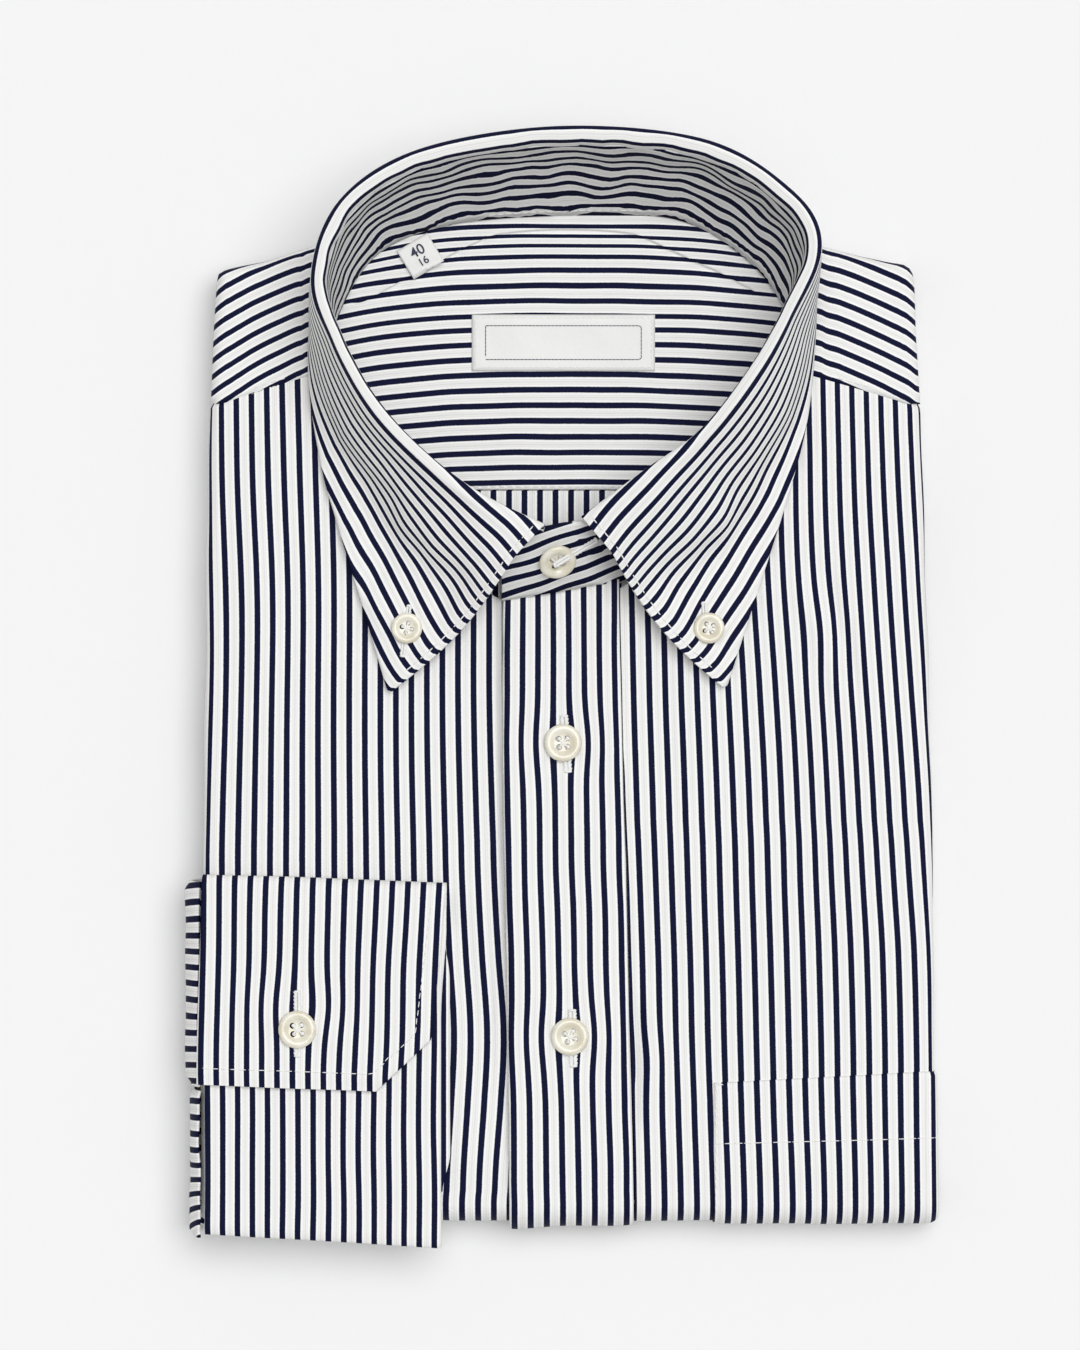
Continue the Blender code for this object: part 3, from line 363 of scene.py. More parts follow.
# Camera over the shirt, in metres, and the plan height of its picture
CAMERA_PLACE = (-0.0066, 0.00535)
PICTURE_HEIGHT = 1350 * 0.305 * MM
FRONT_LEVEL = 0.022
FLOOR_GAP = 0.0002
SENSOR = 36.0
# Key light: direction it comes from, softness in degrees and strength; strength of the room
KEY_TOWARD = (0.19, 0.19, 0.96)
KEY_SOFTNESS = 44.0
KEY_POWER = 1.90
ROOM_LIGHT = 0.42


# ---- what a user may change ---------------------------------------------------------------


def length(name, description, default, least=0.0):
    return FloatProperty(
        name=name, description=description, default=default, min=least, unit="LENGTH"
    )


def colour(name, description, default):
    return FloatVectorProperty(
        name=name, description=description, default=default, subtype="COLOR", size=3
    )


class ShirtSizes(bpy.types.PropertyGroup):
    stripe_pitch: length("Stripe pitch", "Distance from one stripe to the next", 0.0047, 0.002)
    cloth_wall: length("Cloth", "Thickness of a single folded edge of the poplin", 0.0007, 0.0003)
    collar_wall: length("Collar cloth", "Thickness of the interlined collar", 0.0013, 0.0005)
    packet_height: length("Packet height", "Height of the front over the surface it lies on", 0.022)
    side_reach: length("Side fold reach", "Distance in which the fronts turn down", 0.0035)
    side_depth: length("Side fold depth", "Height of the rounded fold at each side", 0.009)
    bottom_reach: length("Bottom fold reach", "Distance in which the bottom turns down", 0.006)
    thread_radius: length("Thread radius", "Radius of the sewing thread", 0.00021)
    button_sides: IntProperty(
        name="Button sides", description="Steps round each button", default=48, min=12
    )
    floor_size: length("Floor size", "Width of the pale floor", 4.0)
    camera_distance: length("Camera distance", "Height of the camera over the floor", 1.8)


class ShirtColours(bpy.types.PropertyGroup):
    navy: colour("Stripe navy", "Colour of the stripes", (0.0062, 0.0080, 0.034))
    white: colour("Ground white", "Colour of the cloth beside the stripes", (0.965, 0.965, 0.96))
    cream: colour("Ground shade", "Greyer warp in each white band", (0.79, 0.785, 0.765))
    thread: colour("Thread", "Colour of the sewing thread", (0.97, 0.97, 0.96))
    pearl: colour("Pearl", "Colour of the buttons", (0.74, 0.69, 0.54))
    pearl_light: colour("Pearl lights", "Lighter clouds in the buttons", (0.88, 0.85, 0.73))
    label: colour("Label", "Colour of the bare labels", (0.88, 0.88, 0.86))
    floor: colour("Floor", "Colour of the pale floor", (0.92, 0.92, 0.92))


def sizes():
    return bpy.context.scene.shirt_sizes


def mm(name):
    """One of the lengths above, in mm."""
    return getattr(sizes(), name) / MM


def tint(name, factor=1.0, more=0.0):
    """One of the colours above, scaled."""
    return tuple(v * factor + more for v in getattr(bpy.context.scene.shirt_colours, name))


# ---- curves, tables and the packet's surface ----------------------------------------------


def lookup(rows, key, column):
    """Read a column of a table of rising keys, by straight lines between its rows."""
    key = min(max(key, rows[0][0]), rows[-1][0])
    low, high = next((a, b) for a, b in zip(rows, rows[1:]) if key <= b[0])
    return low[column] + (high[column] - low[column]) * (key - low[0]) / (high[0] - low[0])


def smooth_lookup(rows, key, column):
    """The same, by a smooth curve through the rows."""
    key = min(max(key, rows[0][0]), rows[-1][0])
    index = next(i for i in range(len(rows) - 1) if key <= rows[i + 1][0])
    share = (key - rows[index][0]) / (rows[index + 1][0] - rows[index][0])
    return blend_four([row[column] for row in four_at(rows, index)], share)


def four_at(rows, index):
    """The rows at a gap's two ends and the next ones out, where an end row may stand in."""
    return [rows[min(max(i, 0), len(rows) - 1)] for i in range(index - 1, index + 3)]


def blend_four(values, t):
    """Catmull-Rom blend of four values, from the second at t 0 to the third at t 1."""
    a, b, c, d = values
    curve = (2 * a - 5 * b + 4 * c - d) * t * t + (3 * b - a - 3 * c + d) * t * t * t
    return 0.5 * (2 * b + (c - a) * t + curve)


def smooth_curve(points, share):
    """A point on the Catmull-Rom curve through the points, share 0 to 1 end to end."""
    last = len(points) - 1
    place = min(max(share, 0.0), 1.0) * last
    index = min(int(place), last - 1)
    return tuple(blend_four(values, place - index) for values in zip(*four_at(points, index)))


def fine_rows(rows, per_row):
    """A table filled in smoothly."""
    return [smooth_curve(rows, share) for share in steps((len(rows) - 1) * per_row)]


def ease(low, high, value):
    """Smooth step from 0 at low to 1 at high."""
    share = min(max((value - low) / (high - low), 0.0), 1.0)
    return share * share * (3 - 2 * share)


def mound(*away):
    """A bell of height 1 where all the distances are 0, each given in its own widths."""
    return math.exp(-sum(distance ** 2 for distance in away))


def steps(count):
    """Shares from 0 to 1 in that many steps."""
    return [i / count for i in range(count + 1)]


def lengths_along(points):
    """Distance from the first point of a line to each of its points."""
    return list(accumulate(((b - a).length for a, b in zip(points, points[1:])), initial=0.0))


def find_on(ways, way):
    """The span of a line that holds a way along it, and the share of that span."""
    i = next((k for k in range(len(ways) - 2) if way <= ways[k + 1]), len(ways) - 2)
    return i, min(max((way - ways[i]) / max(ways[i + 1] - ways[i], 1e-6), 0.0), 1.0)


def plan_run(corners, count=60):
    """Places along a path of corners."""
    return [
        (a[0] + (b[0] - a[0]) * share, a[1] + (b[1] - a[1]) * share)
        for a, b in zip(corners, corners[1:])
        for share in steps(count)
    ]


def waver(x, y, scale, height, seed=0.0):
    """Soft unevenness over a plan place in mm."""
    return height * noise.noise(Vector((x / scale, y / scale, seed)))


def left_edge(y):
    return smooth_lookup(SIDE_EDGES, y, 1) + waver(y, 3.0, 26, 0.5)


def right_edge(y):
    return smooth_lookup(SIDE_EDGES, y, 2) + waver(y, 9.0, 26, 0.5)


def top_edge(x):
    return smooth_lookup(TOP_EDGE, x, 1)


def crease_height(x, y):
    """Height of the listed creases and of the pulls round the buttons."""
    total = 0.0
    for x0, y0, x1, y1, half, height in CREASES:
        along = Vector((x1 - x0, y1 - y0))
        to = Vector((x - x0, y - y0))
        share = to.dot(along) / along.length_squared
        away = (to - along * share).length / half
        if -0.25 <= share <= 1.25 and away < 1.6:
            ends = ease(-0.25, 0.15, share) * (1 - ease(0.85, 1.25, share))
            total += height * ends * math.exp(-away * away * 1.6)
    for bx, by in BUTTON_PULLS:
        reach = math.hypot(x - bx, (y - by) / 1.5)
        if reach < 22:
            fade = ease(2.0, 6.0, reach) * (1 - ease(8.0, 22.0, reach))
            total += 0.28 * fade * math.cos(5 * math.atan2(y - by, x - bx) + 1.1)
    return total


def front_height(x, y):
    """Height of the fronts in mm: flat, with a soft sag to the edges, creases and unevenness."""
    side = min(x - left_edge(y), right_edge(y) - x)
    end = min(top_edge(x) - y, y - BOTTOM_EDGE)
    near = min(max(side, 0.0), max(end, 0.0))
    sag = EDGE_SAG * (1 - ease(0, EDGE_SAG_WIDTH, near))
    soft = waver(x, y, 38, 0.55) + waver(x, y, 15, 0.22, 4.0)
    return mm("packet_height") - sag + ease(0, 14, near) * (crease_height(x, y) + soft)


def packet_point(x, y, side_turn=0.0, end_turn=0.0, lift=0.0):
    """A point of the packet's outer surface in mm, moved out by lift.

    side_turn is how far round the side fold it is, in radians and with the sign of its side, and
    end_turn how far round the bottom fold.
    """
    side = 1 if side_turn > 0 else -1
    turn = abs(side_turn)
    tighter = 1 - 0.72 * math.sin(min(end_turn, math.pi / 2))
    reach = mm("side_reach")
    bottom = mm("bottom_reach")
    if turn > 0:
        edge = right_edge(y) if side > 0 else left_edge(y)
        x = edge - side * reach + side * (reach + lift) * math.sin(turn)
    depth = (mm("side_depth") / 2 * tighter + lift) * (1 - math.cos(turn)) - lift
    base = BOTTOM_EDGE + bottom
    height = front_height(x, max(y, base))
    if end_turn <= 0:
        return Vector((x, y, height - depth))
    half = height / 2
    uneven = waver(x, 40.0, 18, 0.35) * math.sin(end_turn)
    y = base - (bottom - depth + uneven) * math.sin(end_turn)
    return Vector((x, y, half + (half - depth) * math.cos(end_turn)))


def stripe_bend(x, y):
    """How far the stripes bend aside at a place of the fronts."""
    total = waver(x, y, 45, 0.35, 7.0)
    for bx, by, rx, ry, shift in STRIPE_BENDS:
        total += shift * mound((x - bx) / rx, (y - by) / ry)
    return total


# ---- meshes ---------------------------------------------------------------------------------


class Cloth:
    """A grid of points on a piece's outer side, from rows of (point, stripe count, run)."""

    def __init__(self, rows):
        self.rows = [[entry[0] for entry in row] for row in rows]
        self.marks = [entry[1:] for row in rows for entry in row]

    def at(self, row, column):
        """Point and outward direction at a place in the grid, rows and columns as shares."""
        r = min(max(row, 0.0), 1.0) * (len(self.rows) - 1)
        c = min(max(column, 0.0), 1.0) * (len(self.rows[0]) - 1)
        i = min(int(r), len(self.rows) - 2)
        j = min(int(c), len(self.rows[0]) - 2)
        s, t = r - i, c - j
        a, b = self.rows[i][j : j + 2]
        d, e = self.rows[i + 1][j : j + 2]
        normal = ((b - a) + (e - d)).cross((d - a) + (e - b))
        return a.lerp(b, t).lerp(d.lerp(e, t), s), normal.normalized()

    def nearest(self, x, y):
        """The same for the grid point that is nearest in plan."""
        _, r, c = min(
            ((p.x - x) ** 2 + (p.y - y) ** 2, r, c)
            for r, row in enumerate(self.rows)
            for c, p in enumerate(row)
        )
        return self.at(r / (len(self.rows) - 1), c / (len(self.rows[0]) - 1))

    def run_on(self, path, count=90):
        """Places along a path of (row share, column share) corners."""
        return [self.at(row, column) for row, column in plan_run(path, count)]

    def cut(self):
        """Width, length and area in metres, from the widest row and the longest column."""
        area = 0.0
        for low, high in zip(self.rows, self.rows[1:]):
            for i in range(len(low) - 1):
                area += (low[i + 1] - low[i]).cross(high[i] - low[i]).length / 2
                area += (high[i] - high[i + 1]).cross(low[i + 1] - high[i + 1]).length / 2
        width = max(lengths_along(row)[-1] for row in self.rows) * MM
        tall = max(lengths_along(column)[-1] for column in zip(*self.rows)) * MM
        return width, tall, min(area * MM * MM, width * tall)


def add_object(name, data):
    """A new object in the scene."""
    item = bpy.data.objects.new(name, data)
    bpy.context.scene.collection.objects.link(item)
    return item


def mesh_of(name, shape):
    """The mesh of a finished bmesh."""
    mesh = bpy.data.meshes.new(name)
    shape.to_mesh(mesh)
    shape.free()
    return mesh


def worked_out(item):
    """The mesh of an object with its modifiers or its lettering worked out."""
    depsgraph = bpy.context.evaluated_depsgraph_get()
    return bpy.data.meshes.new_from_object(item.evaluated_get(depsgraph))


def make_piece(name, mesh, material):
    """A finished mesh as a piece that rides the one body."""
    mesh.materials.append(material)
    mesh.shade_smooth()
    piece = add_object(name, mesh)
    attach(piece, "root")
    return piece


def lay_cloth(name, rows, wall, node=None, material=None, label=None):
    """A wall of cloth on a grid: faces, the stripe map and thickness inwards; its cut is worked
    out, unless a label size is given, but not kept.
    """
    cloth = Cloth(rows)
    count = len(cloth.rows[0])
    faces = []
    for r in range(len(cloth.rows) - 1):
        for low in range(r * count, r * count + count - 1):
            faces.append((low, low + 1, low + count + 1, low + count))
    mesh = bpy.data.meshes.new(name)
    mesh.from_pydata([tuple(p * MM) for row in cloth.rows for p in row], [], faces)
    layer = mesh.uv_layers.new(name="Cloth")
    for loop in mesh.loops:
        layer.data[loop.index].uv = cloth.marks[loop.vertex_index]
    mesh.update()
    piece = make_piece(name, mesh, material or poplin())
    solid = piece.modifiers.new("Cloth", "SOLIDIFY")
    solid.thickness = wall * MM
    solid.offset = -1.0
    if node:
        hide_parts(node)
    if label:
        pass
    else:
        width, tall, area = cloth.cut()
    return cloth


def sew(name, shapes, material=None):
    """One piece from many small closed shapes, each a (vertices, faces) pair."""
    vertices, faces = [], []
    for points, sides in shapes:
        base = len(vertices)
        vertices.extend(tuple(p) for p in points)
        faces.extend(tuple(base + i for i in side) for side in sides)
    mesh = bpy.data.meshes.new(name)
    mesh.from_pydata(vertices, [], faces)
    mesh.update()
    return make_piece(name, mesh, material or thread_finish())


def thread_shape(start, end, up, radius, swell=1.0, sides=6):
    """One stitch: a short rounded thread from start to end, in mm, bowed up a little."""
    along = end - start
    length = along.length
    along.normalize()
    across = along.cross(up).normalized()
    over = across.cross(along)
    rings = [(0.0, 0.35), (0.12, 0.85), (0.5, 1.0), (0.88, 0.85), (1.0, 0.35)]
    points, faces = [], []
    for share, width in rings:
        bow = math.sin(math.pi * share) * radius * 0.7
        centre = start + along * length * share + over * bow
        for k in range(sides):
            turn = 2 * math.pi * k / sides
            side = across * math.cos(turn) * radius * width * swell
            points.append((centre + side + over * math.sin(turn) * radius * width) * MM)
    for ring in range(0, (len(rings) - 1) * sides, sides):
        for k in range(sides):
            n = (k + 1) % sides
            faces.append((ring + k, ring + n, ring + sides + n, ring + sides + k))
    faces.append(tuple(reversed(range(sides))))
    faces.append(tuple(range((len(rings) - 1) * sides, len(rings) * sides)))
    return points, faces


def stitch_run(places, length, gap, radius=None, sink=0.35):
    """Stitches along a run of (point, up) places in mm, each sunk by a share of its radius."""
    radius = radius or mm("thread_radius")
    lift = radius * (1 - 2 * sink)
    ways = lengths_along([point for point, _ in places])
    shapes = []
    way = gap
    while way + length < ways[-1]:
        ends = []
        for end in (way, way + length):
            i, share = find_on(ways, end)
            up = places[i][1].lerp(places[i + 1][1], share).normalized()
            ends.append((places[i][0].lerp(places[i + 1][0], share) + up * lift, up))
        shapes.append(thread_shape(ends[0][0], ends[1][0], ends[0][1], radius))
        way += length + gap
    return shapes


def buttonhole_shapes(centre, along, up, length, half_width=0.95):
    """A worked buttonhole: two rows of close stitches with a bar at each end."""
    along = along.normalized()
    across = along.cross(up).normalized()
    shapes = []
    count = int(length / 0.38)
    for i in range(count):
        middle = centre + along * length * ((i + 0.5) / count - 0.5) + up * 0.16
        for side in (-1, 1):
            inner = middle + across * side * 0.04
            outer = middle + across * side * (half_width + 0.12 * ((i * 7) % 3))
            shapes.append(thread_shape(inner, outer, up, 0.3, 1.0, 5))
    for end in (-1, 1):
        bar = centre + along * length / 2 * end + up * 0.24
        wide = across * (half_width + 0.1)
        shapes.append(thread_shape(bar - wide, bar + wide, up, 0.42))
    return shapes


# ---- shader expressions ---------------------------------------------------------------------


class Wire:
    """A socket of a finish; arithmetic on it adds Math nodes."""

    def __init__(self, finish, socket):
        self.finish = finish
        self.socket = socket

    def _math(self, operation, *values):
        settings = {"operation": operation}
        return self.finish.add("ShaderNodeMath", 0, settings, dict(enumerate(values)))

    def __add__(self, other):
        return self._math("ADD", self, other)

    def __sub__(self, other):
        return self._math("SUBTRACT", self, other)

    def __rsub__(self, other):
        return self._math("SUBTRACT", other, self)

    def __mul__(self, other):
        return self._math("MULTIPLY", self, other)

    __radd__ = __add__
    __rmul__ = __mul__

    def fract(self):
        return self._math("FRACT", self)

    def size(self):
        return self._math("ABSOLUTE", self)

    def wave(self):
        return self._math("SINE", self)

    def between(self, low, high):
        """Smooth step from 0 at low to 1 at high."""
        settings = {"interpolation_type": "SMOOTHSTEP"}
        sockets = {"Value": self, "From Min": low, "From Max": high}
        return self.finish.add("ShaderNodeMapRange", "Result", settings, sockets)


class Finish:
    """A material under construction: one method adds any node."""

    def __init__(self, name, roughness, **constants):
        self.material = bpy.data.materials.new(name)
        self.material.use_nodes = True
        self.tree = self.material.node_tree
        self.shader = self.tree.nodes["Principled BSDF"]
        self.shader.inputs["Roughness"].default_value = roughness
        for key, value in constants.items():
            self.shader.inputs[key.replace("_", " ")].default_value = value

    def add(self, kind, output, settings, sockets):
        """A node of a kind, its settings, then its sockets by name or number; one output."""
        node = self.tree.nodes.new(kind)
        for key, value in settings.items():
            setattr(node, key, value)
        for key, value in sockets.items():
            if isinstance(value, Wire):
                self.tree.links.new(value.socket, node.inputs[key])
            else:
                node.inputs[key].default_value = value
        return Wire(self, node.outputs[output])

    def mix(self, share, low, high):
        """Colour from low to high by share."""
        low, high = (v if isinstance(v, Wire) else (*v, 1.0) for v in (low, high))
        return self.add("ShaderNodeMix", 2, {"data_type": "RGBA"}, {0: share, 6: low, 7: high})

    def place(self):
        return self.add("ShaderNodeTexCoord", "Object", {}, {})

    def noise(self, vector, scale, detail):
        sockets = {"Vector": vector, "Scale": scale, "Detail": detail}
        return self.add("ShaderNodeTexNoise", "Fac", {}, sockets)

    def streaks(self, vector, factors, detail):
        """Noise drawn out by a factor along each axis."""
        settings = {"operation": "MULTIPLY"}
        drawn = self.add("ShaderNodeVectorMath", "Vector", settings, {0: vector, 1: factors})
        return self.noise(drawn, 1.0, detail)

    def set(self, socket, wire):
        self.tree.links.new(wire.socket, self.shader.inputs[socket])

    def bump(self, height, strength, distance):
        sockets = {"Height": height, "Strength": strength, "Distance": distance}
        self.set("Normal", self.add("ShaderNodeBump", "Normal", {}, sockets))


def finished(build):
    """A finish that is built once, under the name in its first argument."""

    def fetch(name=build.__defaults__[0], *values):
        return bpy.data.materials.get(name) or build(name, *values).material

    return fetch


@finished
def poplin(name="Striped poplin", shade=1.0, wider=0.0):
    """White cotton poplin with woven navy stripes: one stripe at each whole stripe count; a shade
    below 1 darkens it all as painted shade.
    """
    finish = Finish(name, 0.75, Specular_IOR_Level=0.06)
    mark = finish.add("ShaderNodeUVMap", "UV", {"uv_map": "Cloth"}, {})
    count = finish.add("ShaderNodeSeparateXYZ", 0, {}, {0: mark})
    run = finish.add("ShaderNodeSeparateXYZ", 1, {}, {0: mark})
    place = finish.place()
    fine = finish.noise(place, 2600.0, 1.0)
    slub = finish.streaks(mark, (2.2, 260.0, 1.0), 3.0)
    away = ((count + 0.5).fract() - 0.5).size()
    ragged = away + (fine - 0.5) * 0.03 + (slub - 0.5) * 0.012
    stripe = 1.0 - ragged.between(0.176 + wider, 0.208 + wider)
    lines = (((count * 6.0).fract() - 0.5).size() * 2.0).between(0.35, 0.8)
    warm = away.between(0.30, 0.37) * (0.45 + 0.55 * lines) * (0.75 + 0.5 * slub)
    # Below 1, shade darkens ground and navy alike: painted shade for cloth that lies in shadow.
    ground = finish.mix(warm, tint("white", shade), tint("cream", shade))
    deep = tint("navy", 2 * shade - 1)
    worn = tuple(v * 1.6 + 0.001 for v in deep)
    faded = finish.mix(slub.between(0.45, 0.9) * 0.35, deep, worn)
    finish.set("Base Color", finish.mix(stripe, ground, faded))
    finish.set("Roughness", 0.66 + 0.12 * slub - 0.05 * stripe)
    warp = (count * (2 * math.pi * 17)).wave()
    weft = (run * (2 * math.pi / 0.00034)).wave()
    cloth = warp * 0.5 + weft * 0.5
    soft = finish.noise(place, 95.0, 3.0) * 2.4 + finish.noise(place, 330.0, 2.0) * 0.5
    finish.bump(cloth * 0.05 + soft * 0.55, 0.55, 0.00045)
    return finish


@finished
def thread_finish(name="Sewing thread"):
    finish = Finish(name, 0.55, Sheen_Weight=0.3)
    tone = finish.noise(finish.place(), 900.0, 2.0)
    finish.set("Base Color", finish.mix(tone, tint("thread", 0.86), tint("thread")))
    return finish


@finished
def pearl_finish(name="Pearl"):
    finish = Finish(name, 0.22, Coat_Weight=0.35, Coat_Roughness=0.08, IOR=1.53)
    place = finish.place()
    cloud = finish.streaks(place, (130.0, 220.0, 160.0), 3.0)
    grain = finish.streaks(place, (300.0, 900.0, 300.0), 2.0)
    base = finish.mix(cloud.between(0.35, 0.68), tint("pearl"), tint("pearl_light"))
    finish.set("Base Color", finish.mix(grain.between(0.5, 0.75) * 0.25, base, (0.95, 0.93, 0.9)))
    finish.set("Roughness", 0.16 + 0.12 * grain)
    finish.bump(cloud, 0.15, 0.0002)
    return finish


@finished
def label_finish(name="Woven label"):
    finish = Finish(name, 0.5, Sheen_Weight=0.2)
    weave = finish.streaks(finish.place(), (3200.0, 900.0, 900.0), 1.0)
    finish.set("Base Color", finish.mix(weave, tint("label", 0.93), tint("label")))
    finish.bump(weave, 0.3, 0.0001)
    return finish


@finished
def print_finish(name="Navy thread"):
    finish = Finish(name, 0.6)
    tone = finish.noise(finish.place(), 1200.0, 2.0)
    finish.set("Base Color", finish.mix(tone, tint("navy"), tint("navy", 2.2)))
    return finish


@finished
def floor_finish(name="Floor"):
    finish = Finish(name, 0.9, Specular_IOR_Level=0.1)
    tone = finish.noise(finish.place(), 3.0, 1.0)
    finish.set("Base Color", finish.mix(tone, tint("floor"), tint("floor", 0.995)))
    return finish


# ---- collar lines -----------------------------------------------------------------------------


def collar_row(share):
    """Points on the neck seam, the fold and the leaf's edge, a share of the way round."""
    row = smooth_curve(COLLAR_ROWS, share)
    seam = Vector((row[0], row[1], 0))
    side = min(max(seam.x, -100), 100)
    near = min(seam.x - left_edge(seam.y), right_edge(seam.y) - seam.x, top_edge(side) - seam.y)
    seam.z = mm("packet_height") - EDGE_SAG * (1 - ease(0, EDGE_SAG_WIDTH, max(near, 0))) - 1.2
    return seam, Vector(row[2:5]), Vector(row[5:8])


def collar_frame(share):
    """The same, with the direction out of the collar there."""
    step = 0.004
    along = collar_row(min(share + step, 1.0))[1] - collar_row(max(share - step, 0.0))[1]
    return *collar_row(share), Vector((-along.y, along.x, 0)).normalized()


def inner_side(seam, fold, way):
    """A point inside the collar, way mm down from the fold: steep there, gentler lower down."""
    rise = fold - seam
    u = way / rise.length
    lean = 0.5 * u + 0.5 * u * u
    drop = u + 0.12 * u * (1 - u)
    return Vector((fold.x - rise.x * lean, fold.y - rise.y * lean, fold.z - rise.z * drop))


def stand_ripple(run, way, whole, back):
    """How far the stand's cloth stands out at a place, and how far its stripes bend."""
    middle = math.sin(math.pi * min(0.12 + 0.88 * way / whole, 1.0))
    middle *= ease(STAND_TOP_DROP - 0.5, STAND_TOP_DROP + 6, way)
    ripple = waver(run, way * 0.9, 11, 1.9, 2.0) + waver(run, way * 0.4, 5, 0.5, 45.0)
    slanted = waver(run + 1.2 * way, way * 0.15, 6, 1.2, 41.0) * (1 - back)
    bend = waver(run, way, 11, 0.6, 5.0) + waver(run, way, 4.5, 0.12, 47.0)
    return (ripple * (0.3 + 0.7 * back) * 0.6 + slanted * 0.4) * middle, bend * (0.4 + 0.6 * back)


def front_stand_stripe(p):
    """Stripe count on the stand's lapping end, whose stripes climb to the right."""
    climb, first, pitch = STAND_FRONT_STRIPES
    count = (p.y - climb * p.x - first) / pitch + waver(p.x, p.y, 12, 0.2, 49.0)
    # Navy drawn over these places is painted shade of the buttonhole's gaps.
    for x, y in STAND_HOLE_PAINTED_SHADE:
        count += (round(count) - count) * 0.9 * mound((p.x - x) / 2.6, (p.y - y) / 1.4)
    return count - 8


def stand_rows():
    """The stand from the neck seam up to the leaf's seam, its right end lapping over the left."""
    columns = []
    pitch = mm("stripe_pitch")
    run = 0.0
    last = None
    levels = 16
    for share in steps(300):
        seam, fold, _, out = collar_frame(share)
        under = 1 - ease(0.0, 0.1, share)
        whole = (fold - seam).length
        shift = Vector((0, STAND_UNDER * under, 0)) + out * mm("collar_wall")
        back = 1 - ease(0.3, 0.75, abs(2 * share - 1))
        high = STAND_TOP_DROP + 4 * under
        foot = inner_side(seam, fold, whole)
        run += (foot - last).length if last is not None else 0.0
        last = foot
        row = max(min(share, 1 - share) * 2 * SIDE_ROWS, 2.0)
        inner = smooth_lookup(FOLD_TOPS, row, 2 if share < 0.5 else 5)
        at_front = ease(0.93, 0.965, share)
        column = []
        for up in steps(levels):
            way = whole + (high - whole) * up
            out_by, bend = stand_ripple(run, way, whole, back)
            p = inner_side(seam, fold, way) + shift + out * out_by
            pucker = 0.07 * math.sin(run * 2.2 + waver(run, 1.0, 6, 4.0))
            pucker *= ease(whole - 4, whole - 2, way) * back
            count = inner - way / pitch + bend + pucker
            column.append((p, count + (front_stand_stripe(p) - count) * at_front, run * MM))
        columns.append(column)
    for ends in fine_rows(STAND_FRONT, 14):
        low, top = Vector(ends[:3]), Vector(ends[3:])
        run += (low - last).length
        last = low
        column = []
        for up in steps(levels):
            p = low.lerp(top, up)
            p.z += 0.8 * math.sin(math.pi * up) + waver(p.x, p.y, 8, 0.45, 51.0)
            p.z -= 1.3 * mound((p.x - 9.5) / 3.5, (p.y - 43.5) / 3.0)
            column.append((p, front_stand_stripe(p), run * MM))
        columns.append(column)
    return list(zip(*reversed(columns)))


def leaf_spread(place, whole, length, side):
    """(cloth share, plan share, drop share) down the leaf at a collar row from the front end.

    whole is the stripe count from fold to edge and length the same way in plan; the cloth is
    steep where it is crowded in plan and level where it is spread out.
    """
    table = RIGHT_LEAF_SPREAD if side > 0 else LEFT_LEAF_SPREAD
    ways = steps(12)
    plans = [0.0] + [smooth_lookup(table, place, 1 + i) for i in range(11)] + [1.0]
    drops = [0.0]
    for i in range(len(ways) - 1):
        cloth = (ways[i + 1] - ways[i]) * whole * mm("stripe_pitch")
        level = min((plans[i + 1] - plans[i]) * length / cloth, 1.0)
        drops.append(drops[-1] + math.sqrt(max(1 - level * level, 0.0004)))
    return [(way, plan, drop / drops[-1]) for way, plan, drop in zip(ways, plans, drops)]


def leaf_controls(share):
    """Section of the leaf at a share of the way round: (point, stripe count), inside to edge."""
    seam, fold, edge, out = collar_frame(share)
    side = 1 if share > 0.5 else -1
    front = abs(2 * share - 1)
    place = (1 - front) * SIDE_ROWS
    column = 4 if side > 0 else 1
    width, inner, whole = (smooth_lookup(FOLD_TOPS, place, column + i) for i in range(3))
    toward_front = 1 - ease(4.0, 5.0, place)
    across = Vector((edge.x - fold.x, edge.y - fold.y, 0))
    across = across.normalized() if across.length > 0.5 else out
    across = out.lerp(across, toward_front).normalized()
    fall = []
    for way in (STAND_TOP_DROP + 0.3, 2.4):
        point = inner_side(seam, fold, way) - out * 0.1
        fall.append((point, inner - way / mm("stripe_pitch")))
    fall.append((fold + UP * 0.5 + across * 0.4, inner * (1 - 0.4 / width)))
    line = 1.5 * (1 - toward_front) + (width - 2.2) / 2 * toward_front
    crest = width - line
    for far in (crest * 0.6, crest):
        count = inner * (1 - far / width)
        count += (-0.24 - count) * (1 - toward_front) * (far + 1 > crest)
        fall.append((fold + UP * FOLD_RISE + across * far, count))
    wide = ease(5, 10, width)
    start = fold + across * width - UP * (FOLD_RISE * (0.5 - 0.7 * wide))
    edge = edge + (start - edge).normalized() * POINT_ROUND * mound(place * 25 / 1.6)
    length = Vector((edge.x - start.x, edge.y - start.y, 0)).length
    forward = Vector((across.y, -across.x, 0)) * side
    bow = LEAF_END_BOW * ease(0.82, 1.0, front)
    first = 0.19 * (1 - toward_front)
    for way, plan, drop in leaf_spread(place, whole, length, side):
        p = start.lerp(edge, plan)
        p.z = start.z + (edge.z - start.z) * drop
        p += (forward * bow + out * LEAF_BULGE * (1 - toward_front)) * math.sin(math.pi * plan)
        fall.append((p, first + way * (whole - first)))
    return fall


